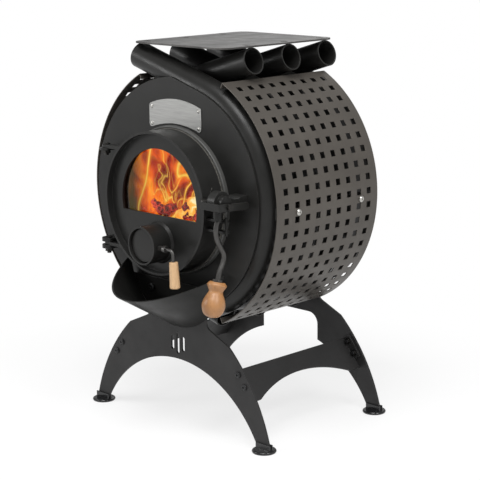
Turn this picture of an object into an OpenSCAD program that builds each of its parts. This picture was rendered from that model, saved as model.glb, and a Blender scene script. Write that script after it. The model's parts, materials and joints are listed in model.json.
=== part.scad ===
// Tent wood stove: a drum-shaped firebox with curved air tubes, a round glazed door,
// a cook plate and a two-plate stand. Millimetres, +Z up, the door faces -Y.

/* [Main sizes] */
// Height of the cook plate's top face above the ground
cook_top_z = 700; // [680:1:740]
// Height of the drum's axis
drum_z = 427; // [415:1:436]
// Height of the door's centre
door_z = 423; // [412:1:430]
// Thickness of the stand plates and of the drum's end plates
plate_t = 4; // [3:0.5:5]

/* [Air tubes] */
// Outer diameter of one air tube
tube_od = 48; // [44:1:50]
// Wall of an air tube
tube_wall = 2.5; // [1.5:0.5:4]
// Radius of the tubes' centreline round the drum's axis
tube_bend_r = 202; // [198:1:206]
// Side gap between neighbouring tubes, and between a tube and an end plate
tube_gap = 0.1; // [0.05:0.05:0.5]
// Distance from the middle to the point where a tube carries the cook plate
seat_x = 114; // [100:1:116]
// Length of a tube's straight lower end
inlet_run = 107; // [90:1:120]
// Clearance under the cook plate and at the shells' edges
seat_gap = 0.25; // [0.05:0.05:0.4]

/* [Drum] */
// Radius of the end plates where they close a shell
end_plate_r = 216; // [212:1:220]
// How far an end plate covers the tube that runs behind it
end_plate_lap = 2; // [0:0.5:6]
// Thickness of the shell strips
shell_t = 3; // [2:0.5:4]
// Opening behind the door
fire_opening_r = 118; // [110:1:121]
// Height of the baffle plate above the drum's axis
baffle_rise = 75; // [60:1:90]
// Gap for the smoke in front of the baffle plate
smoke_gap = 70; // [50:1:90]
// Thickness of the baffle plate and of the fire sill
baffle_t = 3; // [2:0.5:5]
// Height of the fire sill above the bottom of the fire opening
sill_h = 28; // [20:1:34]

/* [Cook plate] */
// Half width of the cook plate
cook_half_w = 119; // [117:1:130]
// Overhang of the cook plate past the tubes at the front and the rear
cook_overhang = 1.3; // [0:0.1:6]
// Thickness of the cook plate
cook_t = 3; // [2:0.5:5]
// Corner radius of the cook plate
cook_corner_r = 23; // [12:1:30]
// Length of a weld slot
cook_slot_l = 18; // [12:1:24]
// Width of a weld slot
cook_slot_w = 8; // [6:0.5:10]
// Distance of the weld slots from the cook plate's side edge
cook_slot_in = 16; // [12:1:24]

/* [Side guards] */
// Gap between the tubes and a guard
guard_gap = 13.1; // [8:0.1:24]
// Sheet thickness of a guard
guard_t = 1.5; // [1:0.1:2]
// Distance from the front plate's front face to the guard's front edge
guard_front = 7.7; // [4:0.1:12]
// Length of a guard from front to back
guard_l = 264.3; // [255:0.1:272]
// Distance by which the left guard sits further back than the right one
guard_left_back = 8; // [0:1:10]
// Half angle that a guard covers
guard_half_a = 63.5; // [58:0.5:68]
// Angle of a guard's middle above the drum's axis
guard_mid_a = -0.9; // [-4:0.1:4]
// Width of the flange along a guard's upper and lower edge
guard_flange = 9; // [5:1:11]
// Side of a square guard hole
guard_hole = 11.5; // [8:0.5:14]
// Pitch of the guard holes from front to back
guard_pitch_y = 27; // [20:1:30]
// Pitch of the guard holes round the drum
guard_pitch_a = 6.12; // [5.6:0.02:6.4]
// Guard holes in one row from front to back
guard_cols = 9; // [3:1:9]
// Rows of guard holes
guard_rows = 20; // [4:2:20]
// Width of the bar that carries a guard
bar_w = 20; // [16:1:26]
// Thickness of the bar that carries a guard
bar_t = 4; // [3:0.5:6]
// Diameter of the sleeves between the bar and the guard
sleeve_d = 12; // [10:1:16]
// Thread diameter of the guard screws
guard_screw_d = 6; // [4:0.5:7]
// Distance of the front guard screw from the guard's front edge
guard_screw_y1 = 53.3; // [46:0.1:60]
// Distance of the rear guard screw from the guard's front edge
guard_screw_y2 = 218.3; // [210:0.1:225]

/* [Stand] */
// Radius of the stand plates' outer edge
stand_outer_r = 336; // [330:1:342]
// Half width of a stand plate at its feet
stand_foot_x = 231; // [226:1:236]
// Half width of a stand plate at its shoulder
shoulder_x = 131; // [126:1:136]
// Height of the shoulder below the neck
shoulder_z = 174; // [168:1:180]
// Half width of the neck where it meets the shoulder
neck_half_w = 75; // [72:1:82]
// Height where the neck's side starts
neck_z = 199; // [194:1:206]
// Height of the neck's top
neck_top_z = 270; // [264:1:280]
// Corner radius of the neck's top
neck_corner_r = 8; // [2:1:12]
// Fillet between neck and shoulder
neck_fillet = 14; // [6:1:20]
// Height of the arch's crown
arch_top_z = 126.7; // [118:0.1:130]
// Radius of the arch
arch_r = 228.7; // [224:0.1:236]
// Width of one vent slot in the front stand plate
vent_w = 8; // [5:0.5:10]
// Pitch of the vent slots
vent_pitch = 14; // [12:1:20]
// Height of the middle vent slot
vent_h = 40; // [24:1:44]
// Height of the outer vent slots
vent_side_h = 28; // [16:1:36]
// Height of the vent slots' middle
vent_z = 156.5; // [152:0.5:160]
// Half width of the notch in the rear stand plate
notch_half_w = 73.5; // [60:0.5:76]
// Height of the notch's top
notch_top_z = 167; // [150:1:172]
// Corner radius of the notch
notch_r = 22; // [8:1:26]
// Distance of the neck screws from the middle
neck_screw_x = 65; // [58:0.5:66]
// Height of the neck screws
neck_screw_z = 252; // [246:1:256]
// Thread diameter of the neck screws
neck_screw_d = 8; // [5:0.5:9]

/* [Rails] */
// Distance of a rail's top edge from the middle
rail_top_x = 142; // [138:1:146]
// Height of a rail's top edge
rail_top_z = 132; // [128:1:136]
// Slope of a rail's face below the horizontal
rail_slope = 52.6; // [50:0.1:56]
// Width of a rail at its ends
rail_w = 64; // [58:1:66]
// Width of a rail at the crown of its arch
rail_mid_w = 35; // [28:1:44]
// Sheet thickness of a rail
rail_t = 3; // [2:0.5:4]
// Straight length of a rail's lower edge at each end
rail_foot_l = 28; // [16:1:40]
// Width of a rail's end flanges
rail_flange = 16; // [15:0.5:18]
// Distance of the first rail bolt from the rail's top edge
rail_bolt_1 = 11; // [9:0.5:14]
// Distance of the second rail bolt from the rail's top edge
rail_bolt_2 = 36; // [30:0.5:44]
// Distance of the rail bolts from the rail's outer face
rail_bolt_out = 8.5; // [7.5:0.5:9]
// Thread diameter of the rail bolts
rail_bolt_d = 6; // [4:0.5:6.5]

/* [Feet] */
// Distance of the feet from the middle
foot_x = 216; // [212:1:220]
// Diameter of a foot disc
foot_d = 44; // [38:1:50]
// Height of a foot disc
foot_disc_h = 5; // [4:0.5:8]
// Length of the slotted block on a foot
foot_block_l = 34; // [32:1:38]
// Width of the slotted block on a foot
foot_block_w = 10; // [9:0.5:14]
// Height of the slotted block on a foot
foot_block_h = 10; // [8:0.5:14]
// Clearance of the stand plate in a foot's slot, each side
foot_slot_gap = 0.2; // [0.1:0.05:0.4]

/* [Ash scoop] */
// Distance from the stand's front face to the scoop's tip
scoop_reach = 126; // [110:1:140]
// Height of the scoop's tip
scoop_tip_z = 260; // [256:1:266]
// Outer radius of the scoop's cone at the tip
scoop_tip_r = 102.4; // [98:0.2:105]
// Slope of the cone's axis
scoop_tilt = 16.8; // [14:0.2:18]
// Half angle of the cone
scoop_taper = 13; // [11:0.2:14]
// Slope of the rim plane
rim_slope = 19.4; // [17:0.2:21]
// Sheet thickness of the scoop
scoop_t = 2.5; // [1.5:0.5:4]
// Thickness of the scoop's back plate
scoop_back_t = 2; // [1.5:0.5:3]
// Height of the back plate's top edge
scoop_back_z = 272; // [266:1:280]

/* [Door] */
// Outer radius of the door's skirt
door_r = 129; // [127:0.5:130]
// Sheet thickness of the skirt
skirt_t = 4; // [2.5:0.5:5]
// Distance from the front plate's front face to the skirt's front edge
skirt_front = 57.5; // [52:0.5:60]
// Length of the skirt
skirt_l = 47; // [42:0.5:48]
// Depth of the door disc behind the skirt's front edge
disc_inset = 13; // [8:0.5:15]
// Thickness of the door disc
disc_t = 4; // [3:0.5:5]
// Radius of the window
window_r = 97.6; // [90:0.2:100]
// Height of the window's straight lower edge below the door's centre
window_drop = 22; // [12:1:26]
// Margin of the glass round the window
glass_margin = 8; // [6:0.5:10]
// Thickness of the glass
glass_t = 4; // [3:0.5:5]
// Thickness of the glass gasket
gasket_t = 2; // [1:0.5:2.5]
// Width of the glass gasket
gasket_w = 6; // [4:0.5:6]
// Thread diameter of the clip screws and of the shield bolts
clip_d = 5; // [3:0.5:6]
// Width of a glass clip
clip_w = 14; // [12:1:16]
// Thickness of a glass clip
clip_t = 2; // [1:0.5:2.5]
// Angle of the outer glass clips above the horizontal
clip_low_a = 18; // [10:1:24]
// Angle of the inner glass clips above the horizontal
clip_high_a = 68; // [56:1:74]
// Thickness of the inner heat shield
shield_t = 2; // [1:0.5:3]
// Gap between the glass and the inner heat shield
shield_gap = 8; // [6:0.5:10]
// Distance of the shield's bolts from the air hole, and of its rim from the bolts
shield_lap = 8; // [6:0.5:10]

/* [Door collar] */
// Outer radius of the collar ring on the front plate
collar_r = 134.5; // [133:0.5:138]
// Depth of the collar ring
collar_h = 9; // [8:0.5:10]
// Radius of the collar ring's outer edge
collar_edge_r = 2.5; // [1:0.5:3]
// Width of the groove for the rope seal
groove_w = 8; // [7:0.5:8]
// Depth of the groove for the rope seal
groove_h = 6.5; // [5.5:0.5:7]
// Diameter of the rope seal
rope_d = 7.4; // [6:0.2:7.4]
// Gap between the rope seal and the shut door
rope_gap = 0.3; // [0.2:0.05:0.5]

/* [Air nozzle] */
// Distance of the nozzle's axis below the door's centre
nozzle_drop = 71; // [66:1:74]
// Outer diameter of the nozzle
nozzle_d = 69; // [60:1:72]
// Wall of the nozzle
nozzle_wall = 3; // [2:0.5:4]
// Length of the nozzle in front of the door disc
nozzle_l = 44; // [38:1:50]
// Radius of the air hole in the door disc
air_hole_r = 28; // [20:1:29]
// Radial clearance of the flap in the nozzle
flap_gap = 2; // [1.5:0.1:3]
// Thickness of the flap
flap_t = 2; // [1:0.5:3]
// Diameter of the flap's shaft
flap_shaft_d = 6.4; // [5:0.2:8]
// Distance of the flap's shaft behind the nozzle's mouth
flap_in = 10.5; // [9:0.5:12]
// Distance from the nozzle's middle to the bend of the shaft
flap_crank_x = 72; // [68:1:80]
// Radius of the shaft's bend
flap_bend_r = 9; // [6:1:12]
// Turn of the shaft's bend
flap_bend_a = 86.5; // [82:0.5:90]
// Distance of the small grip's top below the flap's shaft
flap_grip_drop = 20; // [16:1:26]
// Length of the small grip
flap_grip_l = 47.5; // [40:0.5:54]
// Diameter of the small grip at its top
flap_grip_d1 = 15.5; // [13:0.5:18]
// Diameter of the small grip at its lower end
flap_grip_d2 = 18.7; // [16:0.1:20]
// Radial clearance of every shaft in its hole
run_gap = 0.05; // [0.02:0.01:0.1]

/* [Hinges] */
// Distance of the hinge axis left of the middle
hinge_x = 160; // [156:1:164]
// Distance of the hinge axis in front of the front plate
hinge_out = 26; // [22:1:28]
// Distance of the lower hinge's strap below the door's centre
hinge_low = 97.5; // [92:0.5:100]
// Distance of the upper hinge's strap above the door's centre
hinge_high = 85; // [80:0.5:92]
// Diameter of the hinge pins
hinge_pin_d = 8; // [6:0.5:10]
// Radius of the hinge ears
ear_r = 13; // [10:0.5:14]
// Thickness of the two ears of the lower hinge
ear_t = 6.5; // [5:0.5:9]
// Thickness of the one ear under the upper hinge's strap
ear_high_t = 4; // [3:0.5:6]
// Thickness of the door's hinge straps
strap_t = 6; // [4:0.5:8]
// Width of the door's hinge straps
strap_w = 16; // [12:1:18]
// Gap between an ear and a strap
ear_gap = 0.3; // [0.2:0.05:0.6]
// Height of a hinge pin's round head
pin_head_h = 2; // [1:0.5:4]
// Length of a hinge pin's end below its ear, which carries the nut
nut_room = 10; // [8:0.5:12]

/* [Latch] */
// Distance of the latch axle in front of the front plate
axle_out = 54; // [50:0.5:56]
// Height of the latch axle above the door's centre
axle_rise = 19; // [16:0.5:22]
// Diameter of the latch axle
axle_d = 8; // [6:0.5:10]
// Inner face of the latch strap's left arm, from the middle
arm_x = 146; // [145.5:0.5:147]
// Inner width of the latch strap
latch_in_w = 37; // [36:0.5:40]
// Sheet thickness of the latch strap
latch_t = 4; // [3:0.5:4]
// Height of the latch strap
latch_h = 13; // [11:0.5:15]
// Distance of the strap's bridge in front of the axle
bridge_out = 20.5; // [20.5:0.5:25]
// Gap between the latch strap's ends and the front plate
strap_end_gap = 6; // [4:0.5:8]
// Distance of the strap pin in front of the front plate
strap_pin_out = 15; // [12:0.5:17]
// Distance of the strap pin below the latch axle
strap_pin_drop = 9; // [8.5:0.5:11]
// Diameter of the strap pin
strap_pin_d = 8; // [6:0.5:8.5]
// Left face of the keeper lug, from the middle
keeper_x = 150; // [149:0.5:152]
// Width of the keeper lug
keeper_w = 27; // [22:0.5:30]
// Height of the keeper lug
keeper_h = 15; // [12:0.5:18]
// Depth of the keeper lug
keeper_l = 20; // [18:0.5:24]
// Gap between the keeper lug and the strap pin under it
keeper_gap = 1; // [0.5:0.1:1.5]
// Radius of the cam hub
hub_r = 19; // [16:0.5:20]
// Left face of the cam hub, from the middle
hub_x = 153; // [152.5:0.5:156]
// Width of the cam hub
hub_w = 17; // [15:0.5:18]
// Distance of the door catch's top below the axle
catch_drop = 21.5; // [20:0.5:26]
// Height of the door catch
catch_h = 32.5; // [28:0.5:36]
// Length of the door catch from front to back
catch_l = 12; // [8:1:18]
// Distance of the door catch behind the axle
catch_in = 5; // [3:0.5:6]
// Diameter of the collar on the latch axle
axle_collar_d = 18; // [14:1:20]
// Side play of the latch strap on its axle
strap_play = 0.5; // [0.3:0.1:1]
// Offset of the cam hub's middle from the axle, upward
hub_up = 5; // [3:0.5:6]
// Radius of the round boss on the cam hub
boss_r = 12.5; // [10:0.5:14]
// Width of the round boss on the cam hub
boss_w = 10; // [8:0.5:11]
// Diameter of the handle rod
rod_d = 9.5; // [8:0.5:11]
// Diameter of the rod's socket under the hub
socket_d = 16; // [14:0.5:18]
// Length of the turned wooden grip
grip_l = 63; // [58:1:70]
// Radius of the wooden grip at its bulb
grip_r = 20.5; // [18:0.5:22]
// Radius of the wooden grip at its neck
grip_neck_r = 12.3; // [11.5:0.1:14]
// Radius of the flare at the wooden grip's top
grip_flare_r = 17; // [15:0.5:18]
// Diameter of the ferrule on the rod's end
ferrule_d = 17.5; // [14:0.5:20]
// Height of the ferrule
ferrule_h = 4; // [3:0.5:6]
// Distance of the grip's top below the rod's last point
grip_sink = 3; // [2:0.5:4]
// Forward lean of the wooden grip
grip_lean = 14.5; // [10:0.5:18]
// Wire diameter of the latch spring
spring_wire = 1.8; // [1.4:0.1:1.8]
// Mean radius of the latch spring
spring_r = 9.5; // [9.5:0.1:11]
// Side gap between the latch spring and the strap's arm
spring_side = 0.4; // [0.3:0.05:0.4]
// Turns of the latch spring
spring_turns = 2; // [1:1:2]
// Pitch of the latch spring
spring_pitch = 2.3; // [2.3:0.05:2.4]
// Wire diameter of the flap spring
flap_wire = 1.2; // [0.8:0.1:1.4]
// Turns of the flap spring
flap_turns = 5; // [3:1:5]
// Length of the flap spring between its end wires' middles
flap_spring_l = 12; // [11:0.5:13]
// Gap between a spring and what it stands beside
spring_gap = 0.3; // [0.2:0.05:0.4]

/* [Flue] */
// Outer diameter of the flue collar
flue_d = 119; // [116:0.5:120]
// Wall of the flue collar
flue_wall = 2; // [1.5:0.5:3]
// Height of the flue's axis above the drum's axis
flue_rise = 97; // [92:1:108]
// Length of the flue collar behind the rear plate
flue_l = 80; // [75:1:90]
// Length of the collar that a stove pipe slides over
flue_free_l = 60; // [50:1:62]
// Distance of the damper's shaft behind the rear plate
damper_back = 12; // [10:0.5:16]
// Thickness of the damper disc
damper_t = 2; // [1.5:0.5:3]
// Length of the damper's lever
damper_lever_l = 46; // [36:1:60]
// Distance of the damper's lever from the collar
damper_lever_out = 18; // [12:1:30]
// Width of the flue collar's flange
flue_flange = 12; // [8:1:16]
// Thickness of the flue collar's flange
flue_flange_t = 3; // [2:0.5:4]
// Diameter of the damper's shaft
damper_shaft_d = 6; // [5:0.5:8]
// Radial clearance of the damper disc in the collar
damper_gap = 1.5; // [1.5:0.1:3]

/* [Nameplate] */
// Half width of the blank plate
name_half_w = 67; // [55:1:68]
// Radius of the blank plate's upper and lower edge
name_r = 186; // [180:1:188]
// Upright height of the blank plate
name_h = 44; // [40:1:45]
// Thickness of the blank plate
name_t = 1.5; // [1:0.5:2]
// Gap between the blank plate and the front plate's rim
name_gap = 26.5; // [24:0.5:30]
// Corner radius of the blank plate
name_corner_r = 6; // [2:1:10]
// Distance of a rivet from the blank plate's upper or lower edge
rivet_in = 6.5; // [6:0.5:12]
// Distance of a rivet from the blank plate's side
rivet_side = 6.5; // [5:0.5:12]
// Radius of a rivet's head
rivet_r = 4; // [2.5:0.5:4.5]
// Height of a rivet's head
rivet_h = 1.4; // [1:0.1:2]

/* [Hidden] */
$fn = 64;

// Colours
c_body = [0.16, 0.16, 0.17];
c_stand = [0.23, 0.23, 0.23];
c_guard = [0.35, 0.33, 0.30];
c_steel = [0.72, 0.71, 0.68];
c_foot = [0.06, 0.06, 0.06];
c_glass = [0.1, 0.1, 0.1, 0.5];
c_wood = [0.72, 0.50, 0.30];
c_rope = [0.78, 0.75, 0.68];

// Overlap of joined shapes, reach of a cut past a face, and reach of a cut right through
eps = 0.01;
past = 1;
through = 2 * drum_z;

// Stack of plates from front to back; Y = 0 is the stand's front face
face_y = plate_t;
plate_back = 2 * plate_t;
tube_pitch = tube_od + tube_gap;
rows_l = 6 * tube_pitch + tube_gap;
rear_y = plate_back + rows_l;
rear_back = rear_y + plate_t;
stand_back = rear_back + plate_t;
function tube_y(i) = plate_back + tube_gap + tube_od / 2 + i * tube_pitch;

// The part stands with the middle of its length at Y = 0
mid_y = (rear_back + flue_l - scoop_reach) / 2;

// Air tubes: the seat under the cook plate sets the slope of their straight ends
tube_r = tube_od / 2;
cook_under = cook_top_z - cook_t - drum_z;
seat_z = cook_under - seat_gap;
seat_d = norm([seat_x, seat_z]);
tube_rise = atan2(seat_z, seat_x) + acos((tube_bend_r + tube_r) / seat_d) - 90;
tube_run = sqrt(seat_d * seat_d - pow(tube_bend_r + tube_r, 2));

// Guards
guard_y = face_y + guard_front;
guard_in = tube_bend_r + tube_r + guard_gap;
guard_r = guard_in + guard_t;
bar_r = tube_bend_r + tube_r + seat_gap;
screw_ys = [guard_y + guard_screw_y1, guard_y + guard_screw_y2];

// Stand: the outer edge is an arc that passes the foot and the shoulder
foot_top_z = foot_disc_h + 1;
outer_mid = [(stand_foot_x + shoulder_x) / 2, (foot_top_z + shoulder_z) / 2];
outer_chord = [shoulder_x - stand_foot_x, shoulder_z - foot_top_z];
outer_h = sqrt(pow(stand_outer_r, 2) - pow(norm(outer_chord) / 2, 2));
outer_c = outer_mid - outer_h * [outer_chord[1], -outer_chord[0]] / norm(outer_chord);

// Rails: a frame along the sloping face, u down the face and w out of it
rail_u = [cos(rail_slope), -sin(rail_slope)];
rail_n = [sin(rail_slope), cos(rail_slope)];
rail_l = rear_back - plate_t;

// Door and latch
door_y = face_y - skirt_front;
disc_y = door_y + disc_inset;
skirt_back = door_y + skirt_l;
glass_y = disc_y + disc_t + gasket_t;
collar_y = face_y - collar_h;
nozzle_z = door_z - nozzle_drop;
flap_y = disc_y - nozzle_l + flap_in;
hinge_y = face_y - hinge_out;
axle_y = face_y - axle_out;
axle_z = door_z + axle_rise;
hub_end = hub_x + hub_w;
arm_end = arm_x + latch_in_w;
boss_end = hub_end + boss_w;
rod_x = hub_x + hub_w / 2;
catch_z = axle_z - catch_drop;

// Points of an arc round c from angle a0 to a1
function arc_pts(c, r, a0, a1, n = 12) =
    [for (i = [0:n]) c + r * [cos(a0 + (a1 - a0) * i / n), sin(a0 + (a1 - a0) * i / n)]];

// The tangent arc that rounds the corner at b between a and c
function corner(a, b, c, r, n = 6) =
    r <= 0 ? [b] :
    let (
        u = (a - b) / norm(a - b),
        v = (c - b) / norm(c - b),
        half = acos(u * v) / 2,
        m = b + (u + v) / norm(u + v) * r / sin(half),
        s = b + u * r / tan(half) - m,
        e = b + v * r / tan(half) - m,
        a0 = atan2(s[1], s[0]),
        d = atan2(s[0] * e[1] - s[1] * e[0], s * e)
    ) arc_pts(m, r, a0, a0 + d, n);

// A closed outline whose corners are rounded by the radii in rs
function rounded(pts, rs) =
    let (n = len(pts))
    [for (i = [0:n - 1]) each corner(pts[(i + n - 1) % n], pts[i], pts[(i + 1) % n], rs[i])];

// A smooth curve through the given points
function smooth(pts, n) =
    let (k = len(pts) - 1)
    concat([for (i = [0:k - 1], j = [0:n - 1])
        let (
            p0 = pts[max(i - 1, 0)], p1 = pts[i], p2 = pts[i + 1], p3 = pts[min(i + 2, k)],
            t = j / n
        ) (2 * p1 + t * (p2 - p0) + t * t * (2 * p0 - 5 * p1 + 4 * p2 - p3)
            + t * t * t * (3 * p1 - p0 - 3 * p2 + p3)) / 2], [pts[k]]);

// A closed round tube through pts; side gives each ring's first direction
module tube_along(pts, side, r, n) {
    k = len(pts);
    rings = [for (i = [0:k - 1])
        let (
            t = pts[min(i + 1, k - 1)] - pts[max(i - 1, 0)],
            v = cross(t, side[i]) / norm(cross(t, side[i])),
            u = cross(v, t) / norm(t)
        ) each [for (j = [0:n - 1]) pts[i] + r * (cos(360 * j / n) * u + sin(360 * j / n) * v)]];
    walls = [for (i = [0:k - 2], j = [0:n - 1])
        let (a = i * n + j, b = i * n + (j + 1) % n)
        each [[a, a + n, b], [b, a + n, b + n]]];
    first = [for (j = [1:n - 2]) [0, j, j + 1]];
    last = [for (j = [1:n - 2]) [k * n - n, k * n - n + j + 1, k * n - n + j]];
    polyhedron(rings, concat(walls, first, last));
}

// Places a shape in the part's frame
module seated() {
    translate([0, -mid_y, 0]) children();
}

// Local x to the right, y up from the height z, extruded towards -Y from the plane y
module upright(y, z = 0) {
    translate([0, y, z]) rotate([90, 0, 0]) children();
}

// The same on both sides of the middle
module both_sides() {
    children();
    mirror([1, 0, 0]) children();
}

// The same at the front and at the rear end of the stand
module both_ends() {
    children();
    translate([0, stand_back, 0]) mirror([0, 1, 0]) children();
}

// Round-headed socket screw: the head ends at z = 0, the shank runs up from there
module screw(d, l) {
    difference() {
        union() {
            cylinder(d = d, h = l);
            translate([0, 0, -0.35 * d]) cylinder(d = 1.9 * d, h = 0.35 * d);
            translate([0, 0, -0.6 * d]) cylinder(d1 = 1.3 * d, d2 = 1.9 * d, h = 0.25 * d);
        }
        translate([0, 0, -0.6 * d - eps]) cylinder(d = 0.7 * d, h = 0.35 * d, $fn = 6);
    }
}

// Hexagon nut on z = 0
module nut(d) {
    difference() {
        cylinder(d = 1.85 * d, h = 0.8 * d, $fn = 6);
        translate([0, 0, -eps]) cylinder(r = d / 2 + run_gap, h = 0.8 * d + 2 * eps);
    }
}

// --- Stand ---

module stand_outline() {
    out_x = stand_foot_x + neck_fillet;
    out_z = shoulder_z - (out_x - shoulder_x) * (neck_z - shoulder_z) / (shoulder_x - neck_half_w);
    right = [[neck_half_w, neck_top_z], [neck_half_w, neck_z], [out_x, out_z],
        [out_x, foot_top_z]];
    rs = [neck_corner_r, neck_fillet, 0, 0];
    difference() {
        polygon(rounded(concat(right, [for (i = [3:-1:0]) [-right[i][0], right[i][1]]]),
            concat(rs, [for (i = [3:-1:0]) rs[i]])));
        both_sides() difference() {
            translate([shoulder_x, 0]) square([stand_foot_x, neck_z]);
            translate(outer_c) circle(r = stand_outer_r, $fn = 128);
        }
        translate([0, arch_top_z - arch_r]) circle(r = arch_r, $fn = 128);
    }
}

// Holes along Y for the neck screws and the rail bolts, in the plane of a stand plate
module stand_holes(h) {
    both_sides() {
        translate([neck_screw_x, neck_screw_z, -eps])
            cylinder(r = neck_screw_d / 2 + 2 * run_gap, h = h);
        for (x = [rail_bolt_1, rail_bolt_2])
            translate(concat(rail_point(x, rail_bolt_out), [-eps]))
                cylinder(r = rail_bolt_d / 2 + 2 * run_gap, h = h);
    }
}

module vent_slot(x, h) {
    translate([x, vent_z - (h - vent_w) / 2]) circle(d = vent_w);
    translate([x, vent_z + (h - vent_w) / 2]) circle(d = vent_w);
    translate([x - vent_w / 2, vent_z - (h - vent_w) / 2]) square([vent_w, h - vent_w]);
}

module stand_front_plate() {
    color(c_stand) seated() upright(plate_t) difference() {
        linear_extrude(plate_t) difference() {
            stand_outline();
            vent_slot(0, vent_h);
            both_sides() vent_slot(vent_pitch, vent_side_h);
        }
        stand_holes(plate_t + past);
    }
}

module stand_rear_plate() {
    low = arch_top_z - notch_r;
    corner_w = 10;
    corner_h = 6;
    color(c_stand) seated() upright(stand_back) difference() {
        linear_extrude(plate_t) difference() {
            stand_outline();
            polygon(rounded([
                [-notch_half_w, low], [-notch_half_w, notch_top_z],
                [notch_half_w, notch_top_z], [notch_half_w, low]
            ], [0, notch_r, notch_r, 0]));
            both_sides() polygon([[notch_half_w - past, low],
                [notch_half_w - past, low + corner_h], [notch_half_w, low + corner_h],
                [notch_half_w + corner_w, low + corner_h - corner_w]]);
        }
        stand_holes(plate_t + past);
    }
}

// A point of the rail's cross-section: u down the face, w out of it
function rail_point(u, w) = [rail_top_x, rail_top_z] + u * rail_u + w * rail_n;

module rail() {
    cut_h = rail_w - rail_mid_w;
    cut_l = rail_l / 2 - rail_foot_l;
    cut_r = (cut_h * cut_h + cut_l * cut_l) / (2 * cut_h);
    flange_u = rail_bolt_2 + rail_bolt_1;
    translate([rail_top_x, plate_t, rail_top_z]) rotate([0, rail_slope, 0]) difference() {
        union() {
            translate([0, 0, -rail_t]) cube([rail_w, rail_l, rail_t]);
            for (y = [0, rail_l - rail_t])
                translate([0, y, -eps]) cube([flange_u, rail_t, rail_flange + eps]);
        }
        translate([rail_mid_w + cut_r, rail_l / 2, -rail_t - past])
            cylinder(r = cut_r, h = rail_t + 2 * past, $fn = 128);
        for (x = [rail_bolt_1, rail_bolt_2])
            translate([x, -past, rail_bolt_out]) rotate([-90, 0, 0])
                cylinder(r = rail_bolt_d / 2 + 2 * run_gap, h = rail_l + 2 * past);
    }
}

module rail_right() { color(c_stand) seated() rail(); }
module rail_left() { color(c_stand) seated() mirror([1, 0, 0]) rail(); }

module rail_bolts() {
    color(c_stand) seated() both_ends() both_sides() for (x = [rail_bolt_1, rail_bolt_2])
        translate([rail_point(x, rail_bolt_out)[0], 0, rail_point(x, rail_bolt_out)[1]])
            rotate([-90, 0, 0]) screw(rail_bolt_d, plate_t + rail_t + rail_bolt_d);
}

module rail_nuts() {
    color(c_steel) seated() both_ends() both_sides() for (x = [rail_bolt_1, rail_bolt_2])
        translate([rail_point(x, rail_bolt_out)[0], plate_t + rail_t,
            rail_point(x, rail_bolt_out)[1]]) rotate([-90, 0, 0]) nut(rail_bolt_d);
}

module foot(side, rear) {
    y = rear ? stand_back - plate_t / 2 : plate_t / 2;
    slot_w = plate_t + 2 * foot_slot_gap;
    rim_r = foot_disc_h * 0.6;
    half = [foot_block_l / 2, foot_block_w / 2];
    color(c_foot) seated() translate([side * foot_x, y, 0]) {
        difference() {
            union() {
                rotate_extrude() polygon(concat([[0, 0], [foot_d / 2 - rim_r / 3, 0]],
                    arc_pts([foot_d / 2 - rim_r, foot_disc_h - rim_r], rim_r, 0, 90, 6),
                    [[0, foot_disc_h]]));
                linear_extrude(foot_disc_h + foot_block_h) polygon(rounded(
                    [-half, [half[0], -half[1]], half, [-half[0], half[1]]],
                    [1.5, 1.5, 1.5, 1.5]));
            }
            translate([-foot_block_l, -slot_w / 2, foot_top_z])
                cube([2 * foot_block_l, slot_w, foot_block_h + past]);
        }
    }
}

module foot_front_left() { foot(-1, false); }
module foot_front_right() { foot(1, false); }
module foot_rear_left() { foot(-1, true); }
module foot_rear_right() { foot(1, true); }

// --- Drum ---

// A tube that bends round the left side, in the drum's own plane: its two straight ends,
// made longer where more is given, and its body
module tube_ends(r, more = 0) {
    rotate([0, 0, 90 + tube_rise]) translate([tube_bend_r, 0, 0]) rotate([90, 0, 0])
        cylinder(r = r, h = tube_run + more);
    rotate([0, 0, 270 - tube_rise]) translate([tube_bend_r, 0, 0]) rotate([-90, 0, 0])
        cylinder(r = r, h = inlet_run + more);
}

module tube_body(r, more = 0) {
    rotate([0, 0, 90 + tube_rise]) rotate_extrude(angle = 180 - 2 * tube_rise, $fn = 96)
        translate([tube_bend_r, 0]) circle(r = r);
    tube_ends(r, more);
}

// Tube i counted from the front; even ones bend round the right side
module tube(i) {
    color(c_body) seated() upright(tube_y(i), drum_z) mirror([1 - i % 2, 0, 0]) difference() {
        tube_body(tube_r);
        tube_body(tube_r - tube_wall, past);
    }
}

module tube_right_1() { tube(0); }
module tube_right_2() { tube(2); }
module tube_right_3() { tube(4); }
module tube_left_1() { tube(1); }
module tube_left_2() { tube(3); }
module tube_left_3() { tube(5); }

// Strip of shell on the left side, under the straight ends of tube i from the right side
module shell_strip(i) {
    w = tube_od - tube_gap;
    l = tube_bend_r * tan(tube_rise);
    upright(tube_y(i) + w / 2, drum_z) difference() {
        union() {
            rotate([0, 0, 90 + tube_rise]) {
                rotate_extrude(angle = 180 - 2 * tube_rise, $fn = 96)
                    translate([tube_bend_r - shell_t / 2, 0]) square([shell_t, w]);
                translate([tube_bend_r - shell_t / 2, -l, 0]) cube([shell_t, l, w]);
            }
            rotate([0, 0, 270 - tube_rise])
                translate([tube_bend_r - shell_t / 2, 0, 0]) cube([shell_t, l, w]);
        }
        translate([0, 0, w / 2]) mirror([1, 0, 0]) tube_ends(tube_r + tube_gap);
    }
}

module shell_left() { color(c_body) seated() for (i = [0, 2, 4]) shell_strip(i); }
module shell_right() {
    color(c_body) seated() mirror([1, 0, 0]) for (i = [1, 3, 5]) shell_strip(i);
}

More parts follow.
